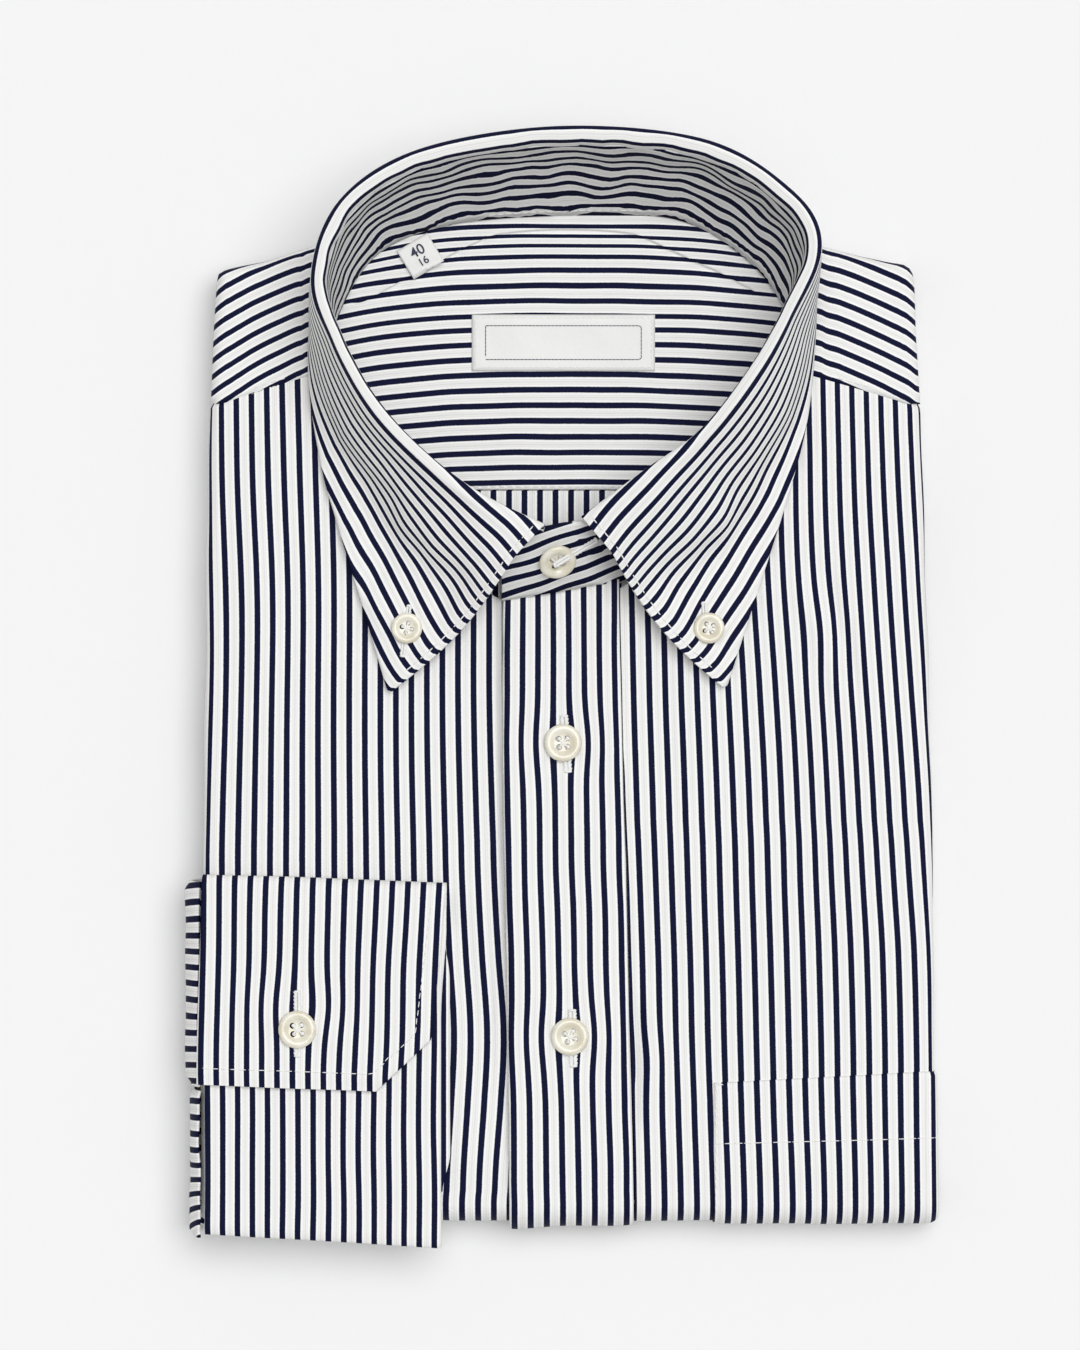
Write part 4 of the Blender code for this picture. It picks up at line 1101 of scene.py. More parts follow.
def leaf_rows():
    """The leaf from its seam over the fold to its free edge."""
    columns = []
    run = 0.0
    last = None
    shares = LEAF_END_COLUMNS + [0.016 + 0.968 * s for s in steps(220)]
    for share in shares + [1 - s for s in reversed(LEAF_END_COLUMNS)]:
        controls = leaf_controls(share)
        crease = controls[5][0]
        run += (crease - last).length if last is not None else 0.0
        last = crease
        points = [(*p, count) for p, count in controls]
        back = 1 - ease(0.4, 0.7, abs(2 * share - 1))
        column = []
        for down in steps(60):
            x, y, z, count = smooth_curve(points, down)
            soft = ease(0.4, 0.65, down) * (1 - ease(0.85, 1.0, down))
            z += waver(x, y, 17, 0.6, 3.0) * soft
            creased = waver(run, down * 12, 8, 0.7, 53.0) * (1 - ease(0.15, 0.3, down)) * back
            p = Vector((x, y, z)) + Vector((x, y - 90, 0)).normalized() * creased
            column.append((p, count, run * MM))
        columns.append(column)
    return list(reversed(list(zip(*reversed(columns)))))


# ---- fronts, placket and pocket ---------------------------------------------------------------


def front_neck(x):
    """Top of the fronts: the neckline, and out to the side a little way under the yoke."""
    return lookup(NECKLINE, abs(x), 1) + UNDER_YOKE * ease(68, 71, abs(x))


def right_front_stripe(x, y):
    first, last = (smooth_lookup(RIGHT_FRONT_STRIPES, y, column) for column in (1, 2))
    return 1 + 15 * (x - stripe_bend(x, y) - first) / (last - first)


def left_front_stripe(x, y):
    first, tenth, last = (smooth_lookup(LEFT_FRONT_STRIPES, y, column) for column in (1, 2, 3))
    x = x - stripe_bend(x, y)
    inner = 10 * (x - first) / (tenth - first)
    outer = 10 + 7 * (x - tenth) / (last - tenth)
    share = ease(tenth - 12, tenth + 12, x)
    count = inner * (1 - share) + outer * share
    # Low on the front, the strip beside the placket's seam runs to stripe -1: navy painted there as
    # painted shade along the seam.
    seam = smooth_lookup(PLACKET_EDGES, y, 2)
    return count + (-1 - count) * ease(seam + 1.25, seam + 0.85, x) * ease(10, -70, y)


def button_pull(across, along):
    """How far stripes are pushed aside at a place measured from a button."""
    share = across / 7.0
    push = 1.05 if across > 0 else 0.7
    return push * share * math.exp(0.5 - share * share / 2 - (along / 9.0) ** 2)


def placket_stripe(x, y):
    first, last = (smooth_lookup(PLACKET_STRIPES, y, column) for column in (1, 2))
    pull = sum(button_pull(x + 1 - bx, y - by) for bx, by in BUTTON_PULLS)
    return 7 * (x - pull - first) / (last - first) + waver(x, y, 21, 0.05, 57.0)


def rows_up(ends, levels):
    """Rows of a piece on the fronts: round the bottom fold, then up to its top edge."""
    return [(0.0, turn) for turn in reversed(ends)] + [(share, 0.0) for share in steps(levels)]


def front_rows(side, inner, stripe):
    """Grid of a front, from its inner edge out and round the side and bottom folds."""
    base = BOTTOM_EDGE + mm("bottom_reach")
    reach = mm("side_reach")
    edge = right_edge if side > 0 else left_edge
    places = [(share, 0.0) for share in EDGE_COLUMNS + steps(COLUMNS)[2:]]
    places += [(1.0, turn) for turn in SIDE_TURNS]
    seam_start, seam_end = YOKE_SEAM
    rows = []
    for share, end_turn in rows_up(END_TURNS, LEVELS):
        line = []
        for offset, turn in places:
            start = inner(base)
            plan_x = start + (side * seam_end - start) * offset
            y = base + (front_neck(plan_x) - base) * share
            start = inner(y)
            x = start + (edge(y) - side * reach - start) * offset
            seam = lookup(NECKLINE, min(abs(x), seam_end), 1)
            tucked = 0.9 * ease(-0.6, 0.6, y - seam) * (abs(plan_x) > seam_start)
            p = packet_point(x, y, side * turn, end_turn, -tucked)
            around = (reach + mm("side_depth") / 2) / 2 * turn
            line.append((p, stripe(x + side * around, y), (y - end_turn * FOLD_RUN) * MM))
        rows.append(line[::side])
    return rows


class SHIRT_OT_fronts(bpy.types.Operator):
    """Lay the two front panels over the packet"""

    bl_idname = "shirt.fronts"
    bl_label = "Fronts"

    def execute(self, context):
        for name, side, edge, reach, stripe in (
            ("right_front", -1, 1, 9, right_front_stripe),
            ("left_front", 1, 2, 0.35, left_front_stripe),
        ):
            rows = front_rows(side, lambda y: smooth_lookup(PLACKET_EDGES, y, edge) + reach, stripe)
            wall = mm("cloth_wall")
            lay_cloth(name + "_cloth", rows, wall, name)
        return {"FINISHED"}


class SHIRT_OT_placket(bpy.types.Operator):
    """Lay the front placket with its worked buttonholes"""

    bl_idname = "shirt.placket"
    bl_label = "Placket"

    def execute(self, context):
        base = BOTTOM_EDGE + mm("bottom_reach")
        rows = []
        columns = [0.0, 0.02, 0.05] + [0.05 + 0.9 * s for s in steps(40)[1:]] + [0.98, 1.0]
        for share, turn in rows_up(END_TURNS[:15], LEVELS):
            line = []
            for across in columns:
                seam = 27.0 + 6.0 * across
                y = base + (seam + 1.6 - base) * share
                left = smooth_lookup(PLACKET_EDGES, y, 1) + waver(y, 20.0, 9, 0.25)
                x = left + (smooth_lookup(PLACKET_EDGES, y, 2) - left) * across
                edge = ease(-0.02, 0.03, across) * (1 - 0.55 * ease(0.9, 1.0, across))
                lift = 1.7 - ease(0.0, 0.5, across) + 0.95 * edge
                lift -= 0.25 * mound((across - 0.9) / 0.03) + 0.5 * ease(seam - 0.4, seam + 0.4, y)
                p = packet_point(x, y, 0.0, turn, lift)
                line.append((p, placket_stripe(x, y), (y - turn * FOLD_RUN) * MM))
            rows.append(line)
        lay_cloth("placket_cloth", rows, PLACKET_WALL, "placket")
        shapes = []
        for x, y, lean in PLACKET_HOLES:
            centre = Vector((x, y, packet_point(x, y, lift=1.7).z))
            shapes += buttonhole_shapes(centre, Vector((lean, 1, 0)), UP, 17.0, 1.15)
        sew("placket_buttonholes", shapes)
        return {"FINISHED"}


class SHIRT_OT_pocket(bpy.types.Operator):
    """Lay the chest pocket with its stitched hem"""

    bl_idname = "shirt.pocket"
    bl_label = "Pocket"

    def execute(self, context):
        columns, levels, ends, turns = 70, 60, 14, 10
        base = BOTTOM_EDGE + mm("bottom_reach")
        reach = mm("side_reach")
        low, high = POCKET_TOP
        places = [(s, 0.0) for s in steps(columns)] + [(1.0, t) for t in SIDE_TURNS[:turns]]
        rows = []
        for share, end_turn in rows_up(END_TURNS[:ends], levels):
            line = []
            for offset, turn in places:
                plan_x = (110 - POCKET_LEFT) * offset
                top = low + (high - low) * plan_x / (POCKET_SIDE - POCKET_LEFT)
                y = base + (top - base) * share
                x = POCKET_LEFT + (right_edge(y) - 0.5 - reach - POCKET_LEFT) * offset
                below_top = (1 - share) * levels / 2 if end_turn == 0 else 1
                rim = min(offset * columns / 3, 1.0, below_top)
                p = packet_point(x, y, turn, end_turn, 0.45 + 0.5 * rim)
                count = left_front_stripe(x + (reach + 4.5) / 2 * turn, y) + 0.06
                line.append((p, count, (y - end_turn * FOLD_RUN) * MM))
            rows.append(line)
        cloth = lay_cloth(
            "pocket_cloth", rows, POCKET_WALL, "pocket"
        )
        base_row = ends / (ends + levels)
        hem = base_row + (1 - base_row) * (1 - 19.6 / 39)
        side = 0.8 / 66 * columns / (columns + turns)
        shapes = stitch_run(cloth.run_on([(hem, 0.0), (hem, 0.96)]), 2.6, 0.35, 0.15, 0.2)
        shapes += stitch_run(cloth.run_on([(0.999, side), (0.05, side)]), 1.9, 0.8)
        shapes += stitch_run(cloth.run_on([(0.985, side), (0.985, 0.06)]), 1.6, 0.5)
        sew("pocket_stitching", shapes)
        return {"FINISHED"}


# ---- yokes and the inside of the neck ---------------------------------------------------------


def yoke_mark(x, y, z, around, rim_x):
    """Outer yoke's point, stripe count and run: stripes rise from each side edge to the collar."""
    side = -1 if x < 0 else 1
    table = LEFT_YOKE_STRIPES if side < 0 else RIGHT_YOKE_STRIPES
    first, last = (smooth_lookup(table, abs(x), column) for column in (1, 2))
    at_side = ease(98, 104, abs(rim_x))
    fold = 0.075 * min(max(around - 3.0, 0.0), 7.0) ** 2 + 1.2 * max(around - 10.0, 0.0)
    wrap = around * (0.18 - 0.12 * at_side) + fold * (1 - at_side)
    count = 7 * (y + wrap + waver(x, y, 25, 0.12, 9.0) - first) / (last - first)
    return Vector((x, y, z)), count, (x + side * around) * MM


class SHIRT_OT_outer_yoke(bpy.types.Operator):
    """Lay the outer yoke over the shoulders and round the top edge"""

    bl_idname = "shirt.outer_yoke"
    bl_label = "Outer yoke"

    def execute(self, context):
        corners = [(left_edge(y), y) for y in YOKE_SIDE_LEVELS] + YOKE_LEFT_CORNER
        corners += TOP_EDGE[1:-1] + YOKE_RIGHT_CORNER
        corners += [(right_edge(y), y) for y in reversed(YOKE_SIDE_LEVELS)]
        outline = [Vector((x, y, 0)) for x, y in corners]
        ways = lengths_along(outline)

        def rim_at(share):
            i, along = find_on(ways, min(max(share, 0), 1) * ways[-1])
            return outline[i].lerp(outline[i + 1], along)

        columns = []
        low, high = YOKE_SHARES
        for share in steps(150):
            seam = collar_row(low + (high - low) * share)[0]
            edge = rim_at(share)
            along = rim_at(share + 0.012) - rim_at(share - 0.012)
            normal = Vector((-along.y, along.x, 0)).normalized()
            behind = ease(118, 136, edge.y)
            reach = mm("side_reach") * (1 - behind) + BACK_REACH * behind
            depth = mm("side_depth") * (1 - behind) + BACK_DEPTH * behind
            start = Vector((seam.x, seam.y, 0))
            start += Vector((seam.x, seam.y - 100, 0)).normalized() * 3.0
            rim = edge - normal * reach
            column = []
            for d in steps(30):
                x, y, _ = start.lerp(rim, d)
                column.append(yoke_mark(x, y, front_height(x, y), 0.0, edge.x))
            top = column[-1][0].z
            for turn in SIDE_TURNS:
                x, y, _ = rim + normal * reach * math.sin(turn)
                z = top - depth / 2 * (1 - math.cos(turn))
                column.append(yoke_mark(x, y, z, (reach + depth / 2) / 2 * turn, rim.x))
            columns.append(column)
        rows = list(zip(*columns))
        wall = mm("cloth_wall")
        cloth = lay_cloth("outer_yoke_cloth", rows, wall, "yoke_outer")
        shapes = []
        for column in (0.006, 0.994):
            shapes += stitch_run(cloth.run_on([(0.28, column), (0.5, column)]), 1.9, 0.7)
        sew("yoke_stitching", shapes)
        return {"FINISHED"}


def above_crease(x, y):
    """How far above the inner yoke's crease a place lies."""
    return y - smooth_lookup(INNER_YOKE_CREASE, x, 1)


def inside_height(x, y, over=None):
    """Height in mm of the cloth inside the neck; its crease is a small step up."""
    above = above_crease(x, y)
    over = above > 0 if over is None else over
    fade = ease(66, 48, abs(x)) if abs(x) > 48 else 1.0
    lip = 0.75 * mound(above / 3.2) if over else -0.5 * mound(above / 2.0)
    soft = waver(x, y, 26, 0.5, 11.0) + waver(x, y, 11, 0.12, 43.0)
    return mm("packet_height") - INSIDE_DROP + soft + lip * fade


def inner_yoke_stripe(x, y, over):
    """Stripe count on the inner yoke, whose stripes bow down to the sides."""
    bow = smooth_lookup(INNER_YOKE_BOWS, y, 1 if x < 0 else 2) * abs(x / 60) ** 3
    slip = 0.12 * over * mound(above_crease(x, y) / 5.0)
    return smooth_lookup(INNER_YOKE_STRIPES, y + bow, 1) + waver(x, y, 17, 0.05, 13.0) + slip


class SHIRT_OT_neck_inside(bpy.types.Operator):
    """Lay the inner yoke and the inside of the back"""

    bl_idname = "shirt.neck_inside"
    bl_label = "Inside of the neck"

    def execute(self, context):
        rows = [self.yoke_row(share, 0.0, False) for share in steps(110)]
        rows += [self.yoke_row(1.0, share, True) for share in steps(26)]
        lay_cloth("inner_yoke_cloth", rows, INSIDE_WALL, "yoke_inner")
        rows = []
        first, pitch = BACK_STRIPES
        for share in steps(40):
            y = BACK_START + (INNER_HEM - 0.3 - BACK_START) * share
            left, right = (smooth_lookup(NECK_SIDES, y, column) for column in (1, 2))
            line = []
            for across in steps(90):
                x = left + (right - left) * across
                ripple = 0.1 * math.cos(x / 1.1) * ease(50, INNER_HEM, y)
                z = inside_height(x, y) - 0.75 + ripple
                line.append((Vector((x, y, z)), (x - first) / pitch, y * MM))
            rows.append(line)
        lay_cloth("inside_back_cloth", rows, INSIDE_WALL, "back_panel")
        seam = plan_run([(-46, INNER_HEM + 0.9), (44, INNER_HEM + 0.9)])
        hem = [(Vector((x, y, inside_height(x, y))), UP) for x, y in seam]
        sew("inner_yoke_stitching", stitch_run(hem, 1.8, 0.8))
        return {"FINISHED"}

    def yoke_row(self, below, above, over):
        """A row of the inner yoke: a share of the way up to its crease, or on above that."""
        line = []
        for share in steps(120):
            x = 0.0
            for _ in range(5):
                crease = min(smooth_lookup(INNER_YOKE_CREASE, x, 1), 146.0)
                y = INNER_HEM + (crease - INNER_HEM) * below + (INNER_TOP - crease) * above
                left, right = (smooth_lookup(NECK_SIDES, y, column) for column in (1, 2))
                x += (left + (right - left) * share - x) * 0.8
            p = Vector((x, y + 0.06 * over, inside_height(x, y, over)))
            line.append((p, inner_yoke_stripe(x, y, over), x * MM))
        return line


# ---- collar -----------------------------------------------------------------------------------


class SHIRT_OT_stand(bpy.types.Operator):
    """Build the collar's stand with its stitching and buttonhole"""

    bl_idname = "shirt.stand"
    bl_label = "Collar stand"

    def execute(self, context):
        wall = mm("collar_wall")
        # The stand takes a darker copy of the poplin: shade 0.9 is painted shade of the cloth
        # inside the collar, not a darker cloth.
        finish = poplin("Striped poplin, stand", 0.90, 0.025)
        name, under, node = "collar_stand_cloth", "inner_yoke_cloth", "collar_stand"
        cloth = lay_cloth(name, stand_rows(), wall, node, finish)
        inside = [
            (point - up * wall, -up)
            for point, up in cloth.run_on([(0.05, 0.96), (0.05, 0.2)], 260)
            if -24 < point.x < 27
        ]
        sew("stand_stitching", stitch_run(inside, 1.9, 0.6, 0.13))
        point, up = cloth.at(0.55, 0.105)
        along = cloth.at(0.6, 0.14)[0] - point
        sew("stand_buttonhole", buttonhole_shapes(point + up * 0.1, along, up, 15))
        return {"FINISHED"}


class SHIRT_OT_leaf(bpy.types.Operator):
    """Build the collar's leaf with its points and edge stitching"""

    bl_idname = "shirt.leaf"
    bl_label = "Collar leaf"

    def execute(self, context):
        wall = mm("collar_wall")
        cloth = lay_cloth("collar_leaf_cloth", leaf_rows(), wall, "collar_leaf")
        shapes = []
        for column in (0.022, 0.978):
            shapes += stitch_run(cloth.run_on([(0.86, column), (0.075, column)], 200), 2.1, 0.75)
        sew("leaf_stitching", shapes)
        shapes = []
        for x, y, dx, dy, length in POINT_HOLES:
            point, up = cloth.nearest(x, y)
            shapes += buttonhole_shapes(point + up * 0.05, Vector((dx, dy, 0)), up, length, 0.7)
        sew("point_buttonholes", shapes)
        return {"FINISHED"}


# ---- cuff and sleeve --------------------------------------------------------------------------


def cuff_path():
    """Section of the cuff as (y, z): the lapping end, over, under, and back to its under end."""
    low = mm("packet_height") + CUFF_WALL + 0.6
    under = low + CUFF_PITCH
    lap = under + CUFF_PITCH
    bottom = low - CUFF_WALL
    top_y = CUFF_TOP - CUFF_BEND
    low_y = CUFF_BOTTOM + CUFF_BEND
    points = []
    for share in CUFF_LAP_ROWS:
        y = CUFF_LAP_END + (top_y - CUFF_LAP_END) * share
        points.append((y, lap - 0.5 * ease(0.08, 0.0, share)))
    radius = (lap - bottom) / 2
    for turn in CUFF_TOP_TURNS:
        a = math.radians(turn)
        points.append((top_y + CUFF_BEND * math.sin(a), lap - radius + radius * math.cos(a)))
    points += [(top_y + (low_y + CUFF_BEND - CUFF_TOP) * share, bottom) for share in steps(8)]
    radius = (under - bottom) / 2
    for turn in CUFF_BOTTOM_TURNS:
        a = math.radians(turn)
        points.append((low_y - CUFF_BEND * math.sin(a), bottom + radius + radius * math.cos(a)))
    return points + [(low_y + (CUFF_UNDER_END - low_y) * share, under) for share in CUFF_UNDER_ROWS]


class SHIRT_OT_cuff(bpy.types.Operator):
    """Lay the flattened cuff over the lower front"""

    bl_idname = "shirt.cuff"
    bl_label = "Cuff"

    per_row = 4
    lap_end = (len(CUFF_LAP_ROWS) - 1) * per_row
    fold_end = lap_end + len(CUFF_TOP_TURNS) * per_row
    under_start = fold_end + 9 * per_row

    def execute(self, context):
        path = fine_rows(cuff_path(), self.per_row)
        ways = lengths_along([Vector(place) for place in path])
        rows = [self.row(index, *path[index], ways[index]) for index in range(len(path))]
        cloth = lay_cloth("cuff_cloth", rows, CUFF_WALL, "cuff")

        def on_lap(x, y):
            """Place on the cuff's lap over a plan place."""
            best = min(range(self.lap_end), key=lambda i: abs(path[i][0] - y))
            left, right = cloth.rows[best][0].x, cloth.rows[best][-1].x
            return cloth.at(best / (len(path) - 1), (x - left) / (right - left))

        right = CUFF_RIGHT - CUFF_TAPER
        end = CUFF_LAP_END
        outline = [(CUFF_LEFT - 0.9, end + 5.6), (right - CUFF_CORNER - 1.5, end + 4.9)]
        outline += [(right - 5.2, end + CUFF_CORNER + 1.5), (CUFF_RIGHT - 4.4, CUFF_TOP - 5)]
        places = [(on_lap(x, y)[0] + UP * 0.1, UP) for x, y in plan_run(outline)]
        sew("cuff_stitching", stitch_run(places, 2.0, 0.8, 0.15, 0.2))
        point, up = on_lap(CUFF_BUTTON[0], CUFF_BUTTON[1] + 0.3)
        sew("cuff_buttonhole", buttonhole_shapes(point + up * 0.05, Vector((0, 1, 0)), up, 19.5))
        self.inner_layer()
        return {"FINISHED"}

    def row(self, index, y, z, run):
        """A row across the loop, whose stripes shift from the lap to the layer under it."""
        lapping = 1 - ease(self.lap_end, self.fold_end, index)
        visible = max(lapping, ease(self.under_start, self.under_start + 24, index))
        lower = ease(self.lap_end + 16, self.fold_end, index)
        left = CUFF_LEFT + 0.4 - (0.9 + 1.5 * ease(CUFF_TOP, CUFF_LAP_END, y)) * lapping
        right = CUFF_RIGHT
        on_lap = index <= self.lap_end
        if on_lap:
            right -= max(CUFF_CORNER - (y - CUFF_LAP_END), 0.0)
            right -= CUFF_TAPER * min((CUFF_TOP - y) / (CUFF_TOP + 104.6), 1.0)
        else:
            right -= 1.7 * ease(CUFF_TOP - 10, CUFF_TOP - 42, y)
        first, pitch = (lookup(CUFF_STRIPES, y, column) for column in (1, 2))
        tilt = CUFF_TILT + 0.024 * ease(-140, CUFF_BOTTOM, y)
        line = []
        for across in steps(80):
            x = left + (right - left) * across
            rim = min(1.0, min(across, 1 - across) * 80 / 3)
            to = Vector((x, y)) - Vector(CUFF_BUTTON)
            pulled = ease(3, 8, to.length) * (1 - ease(9, 24, to.length)) * on_lap
            soft = 0.3 * pulled * math.cos(4 * math.atan2(to.y, to.x) + 0.8) - 0.35 * (1 - rim)
            soft += waver(x, y, 20, 0.5, 17.0 + 3 * lower) * rim
            upper = (x - first - button_pull(to.x, to.y - 5.3)) / pitch
            beneath = (x - CUFF_UNDER_STRIPES[0]) / CUFF_UNDER_STRIPES[1]
            count = upper + (beneath - upper) * lower + waver(x, y, 24, 0.09, 55.0)
            tilted = y + tilt * (CUFF_RIGHT - x) + waver(x, index * 3.0, 30, 0.3, 21.0)
            line.append((Vector((x, tilted, z + soft * visible)), count, run * MM))
        return line

    def inner_layer(self):
        """Edge of the cuff's inner side that peeks out at the wrist."""
        rows = []
        top, bottom = CUFF_INNER_SPAN
        first, pitch = CUFF_INNER_STRIPES
        for share in steps(60):
            y = top + (bottom - top) * share
            reach = 9.5 + 3.4 * ease(0.0, 0.25, share) - 2.4 * ease(0.86, 1.0, share)
            line = []
            for across in steps(10):
                x = CUFF_RIGHT - 12 + reach * across + waver(y, 5.0, 18, 0.5, 25.0)
                z = mm("packet_height") + 3.0 + waver(x, y, 14, 0.3, 26.0)
                line.append((Vector((x, y, z)), (x - first) / pitch + 0.5, y * MM))
            rows.append(line[::-1])
        lay_cloth("cuff_inner_edge", rows, CUFF_INNER_WALL)


class SHIRT_OT_sleeve(bpy.types.Operator):
    """Wrap the sleeve round the packet's left side"""

    bl_idname = "shirt.sleeve"
    bl_label = "Sleeve"

    def execute(self, context):
        section = fine_rows(SLEEVE_SECTION, 6)
        for name, top, bottom, out, phase, tall in SLEEVE_PARTS:
            wide = out - SLEEVE_INNER
            ways = lengths_along([Vector((share_out * wide, z)) for share_out, z in section])
            rows = []
            for (share_out, z), run in zip(section, ways):
                line = []
                for along in steps(70):
                    y = top + (bottom - top) * along
                    edge = ease(0, 0.05, along) * (1 - ease(0.95, 1.0, along))
                    pleat = math.sin(y / 2.6 + 1.3 * math.sin(y / 9)) * ease(0.5, 1.0, z / 27)
                    x = SLEEVE_INNER + wide * share_out * (0.72 + 0.28 * edge)
                    x += waver(y, z, 12, 0.8, 29.0) + 0.1925 * pleat * share_out
                    slant = (z - 14) * (0.05 + 0.22 * ease(-140, -166, y))
                    count = (y - slant + waver(y, z, 20, 0.8, 31.0)) / SLEEVE_PITCH + phase
                    line.append((Vector((x, y, z * tall)), count, run * MM))
                rows.append(line)
            lay_cloth(name, rows, SLEEVE_WALL, "sleeve")
        return {"FINISHED"}


# ---- folded layers ----------------------------------------------------------------------------


def packet_outline(inset, per_side):
    """Plan outline of the packet in mm, moved in by inset."""
    room = inset + LAYER_CORNER
    bottom = BOTTOM_EDGE + room
    shoulder = LAYER_SHOULDER - room
    low_left, low_right = left_edge(bottom) + room, right_edge(bottom) - room
    top_left, top_right = left_edge(shoulder) + room, right_edge(shoulder) - room
    shares = steps(per_side)
    levels = [bottom + LAYER_CORNER + (shoulder - 2 * LAYER_CORNER - bottom) * s for s in shares]
    tops = [top_right + (top_left - top_right) * s for s in shares]
    points = [(low_left + (low_right - low_left) * s, bottom) for s in shares]
    points += [(right_edge(y) - inset, y) for y in levels]
    points += [(x, top_edge(x) - room) for x in tops]
    return points + [(left_edge(y) + inset, y) for y in reversed(levels)]


class SHIRT_OT_layers(bpy.types.Operator):
    """Build the layers folded inside the packet, and its underside"""

    bl_idname = "shirt.layers"
    bl_label = "Folded layers"

    def execute(self, context):
        shape = bmesh.new()
        layer = shape.loops.layers.uv.new("Cloth")
        marks = {}
        loops = []
        profile = fine_rows(LAYER_PROFILE, 2) + LAYER_TOP
        ways = lengths_along([Vector(place) for place in profile])
        for (z, inset), rise in zip(profile, ways):
            loose = ease(0.5, 3.0, z) * (1 - ease(12.5, 14.0, z))
            loop = []
            for index, (x, y) in enumerate(packet_outline(inset, 60)):
                side = (abs(x) > 95) * (1 if x > 0 else -1)
                wobble = waver(index * 1.7, z * 5, 9, 0.9, 33.0) * loose
                lift = waver(index * 1.1, 2.0, 12, 0.7, 35.0) * loose
                sag = mm("packet_height") - front_height(x, y) if z > 15 else 0.0
                vert = shape.verts.new(Vector((x - side * wobble, y, z + lift - sag)) * MM)
                wrap = side * (rise + inset - profile[0][1])
                marks[vert] = ((x + wrap) / LAYER_PITCH + 0.3, y * MM)
                loop.append(vert)
            loops.append(loop)
        for low, high in zip(loops, loops[1:]):
            for i in range(len(low)):
                shape.faces.new((low[i - 1], low[i], high[i], high[i - 1]))
        for loop in (loops[-1], loops[0][::-1]):
            middle = sum((vert.co for vert in loop), Vector()) / len(loop)
            centre = shape.verts.new(middle)
            marks[centre] = (middle.x / MM / LAYER_PITCH + 0.3, middle.y)
            for i in range(len(loop)):
                shape.faces.new((loop[i - 1], loop[i], centre))
        for face in shape.faces:
            for corner in face.loops:
                corner[layer].uv = marks[corner.vert]
        piece = make_piece("layers_cloth", mesh_of("layers_cloth", shape), poplin())
        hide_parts("hidden_layers")
        return {"FINISHED"}


# ---- buttons and labels -----------------------------------------------------------------------


class SHIRT_OT_buttons(bpy.types.Operator):
    """Sew on the pearl buttons with crossed thread"""

    bl_idname = "shirt.buttons"
    bl_label = "Buttons"

    def execute(self, context):
        for name, node, centre, diameter, tilt, turn in BUTTONS:
            place = Matrix.Translation(Vector(centre) * MM)
            place = place @ Matrix.Rotation(math.radians(turn), 4, "Z")
            place = place @ Matrix.Rotation(math.radians(tilt), 4, "X")
            radius = diameter / 2
            scale = radius / BUTTON_RADIUS
            quarters = [math.pi / 4 + quarter * math.pi / 2 for quarter in range(4)]
            holes = [Vector((math.cos(a), math.sin(a), 0)) * HOLE_OFFSET * scale for a in quarters]
            button = make_piece(name, self.turned(name, radius), pearl_finish())
            cutter = self.hole_cutter(holes, HOLE_RADIUS * scale)
            cut = button.modifiers.new("Holes", "BOOLEAN")
            cut.object = cutter
            cut.operation = "DIFFERENCE"
            holed = worked_out(button)
            button.modifiers.clear()
            button.data = holed
            bpy.data.objects.remove(cutter)
            holed.transform(place)
            holed.shade_smooth()
            holed.set_sharp_from_angle(angle=math.radians(50))
            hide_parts(node)
            shapes = []
            for a, b in ((0, 2), (1, 3)):
                ends = (holes[a] + UP * 0.85, holes[b] + UP * 0.85)
                shapes.append(thread_shape(*ends, UP, 0.2, 1.6, 6))
            for hole in holes:
                ends = (hole - UP * 0.3, hole + UP * 0.45)
                shapes.append(thread_shape(*ends, Vector((1, 0, 0)), 0.13 * radius, 1.0, 8))
            moved = [([place @ p for p in points], faces) for points, faces in shapes]
            sew(name + "_thread", moved)
        return {"FINISHED"}

    def turned(self, name, radius):
        """The button's section spun round its axis."""
        shape = bmesh.new()
        line = [shape.verts.new((r * radius * MM, 0, z * MM)) for r, z in BUTTON_PROFILE]
        edges = [shape.edges.new(pair) for pair in zip(line, line[1:])]
        bmesh.ops.spin(
            shape, geom=line + edges, cent=(0, 0, 0), axis=(0, 0, 1), angle=2 * math.pi,
            steps=sizes().button_sides,
        )
        bmesh.ops.remove_doubles(shape, verts=shape.verts, dist=1e-6)
        bmesh.ops.recalc_face_normals(shape, faces=shape.faces)
        return mesh_of(name, shape)

    def hole_cutter(self, holes, radius):
        shape = bmesh.new()
        for hole in holes:
            bmesh.ops.create_cone(
                shape, cap_ends=True, segments=20, radius1=radius * MM, radius2=radius * MM,
                depth=8 * MM, matrix=Matrix.Translation(hole * MM),
            )
        return add_object("button_holes", mesh_of("button_holes", shape))


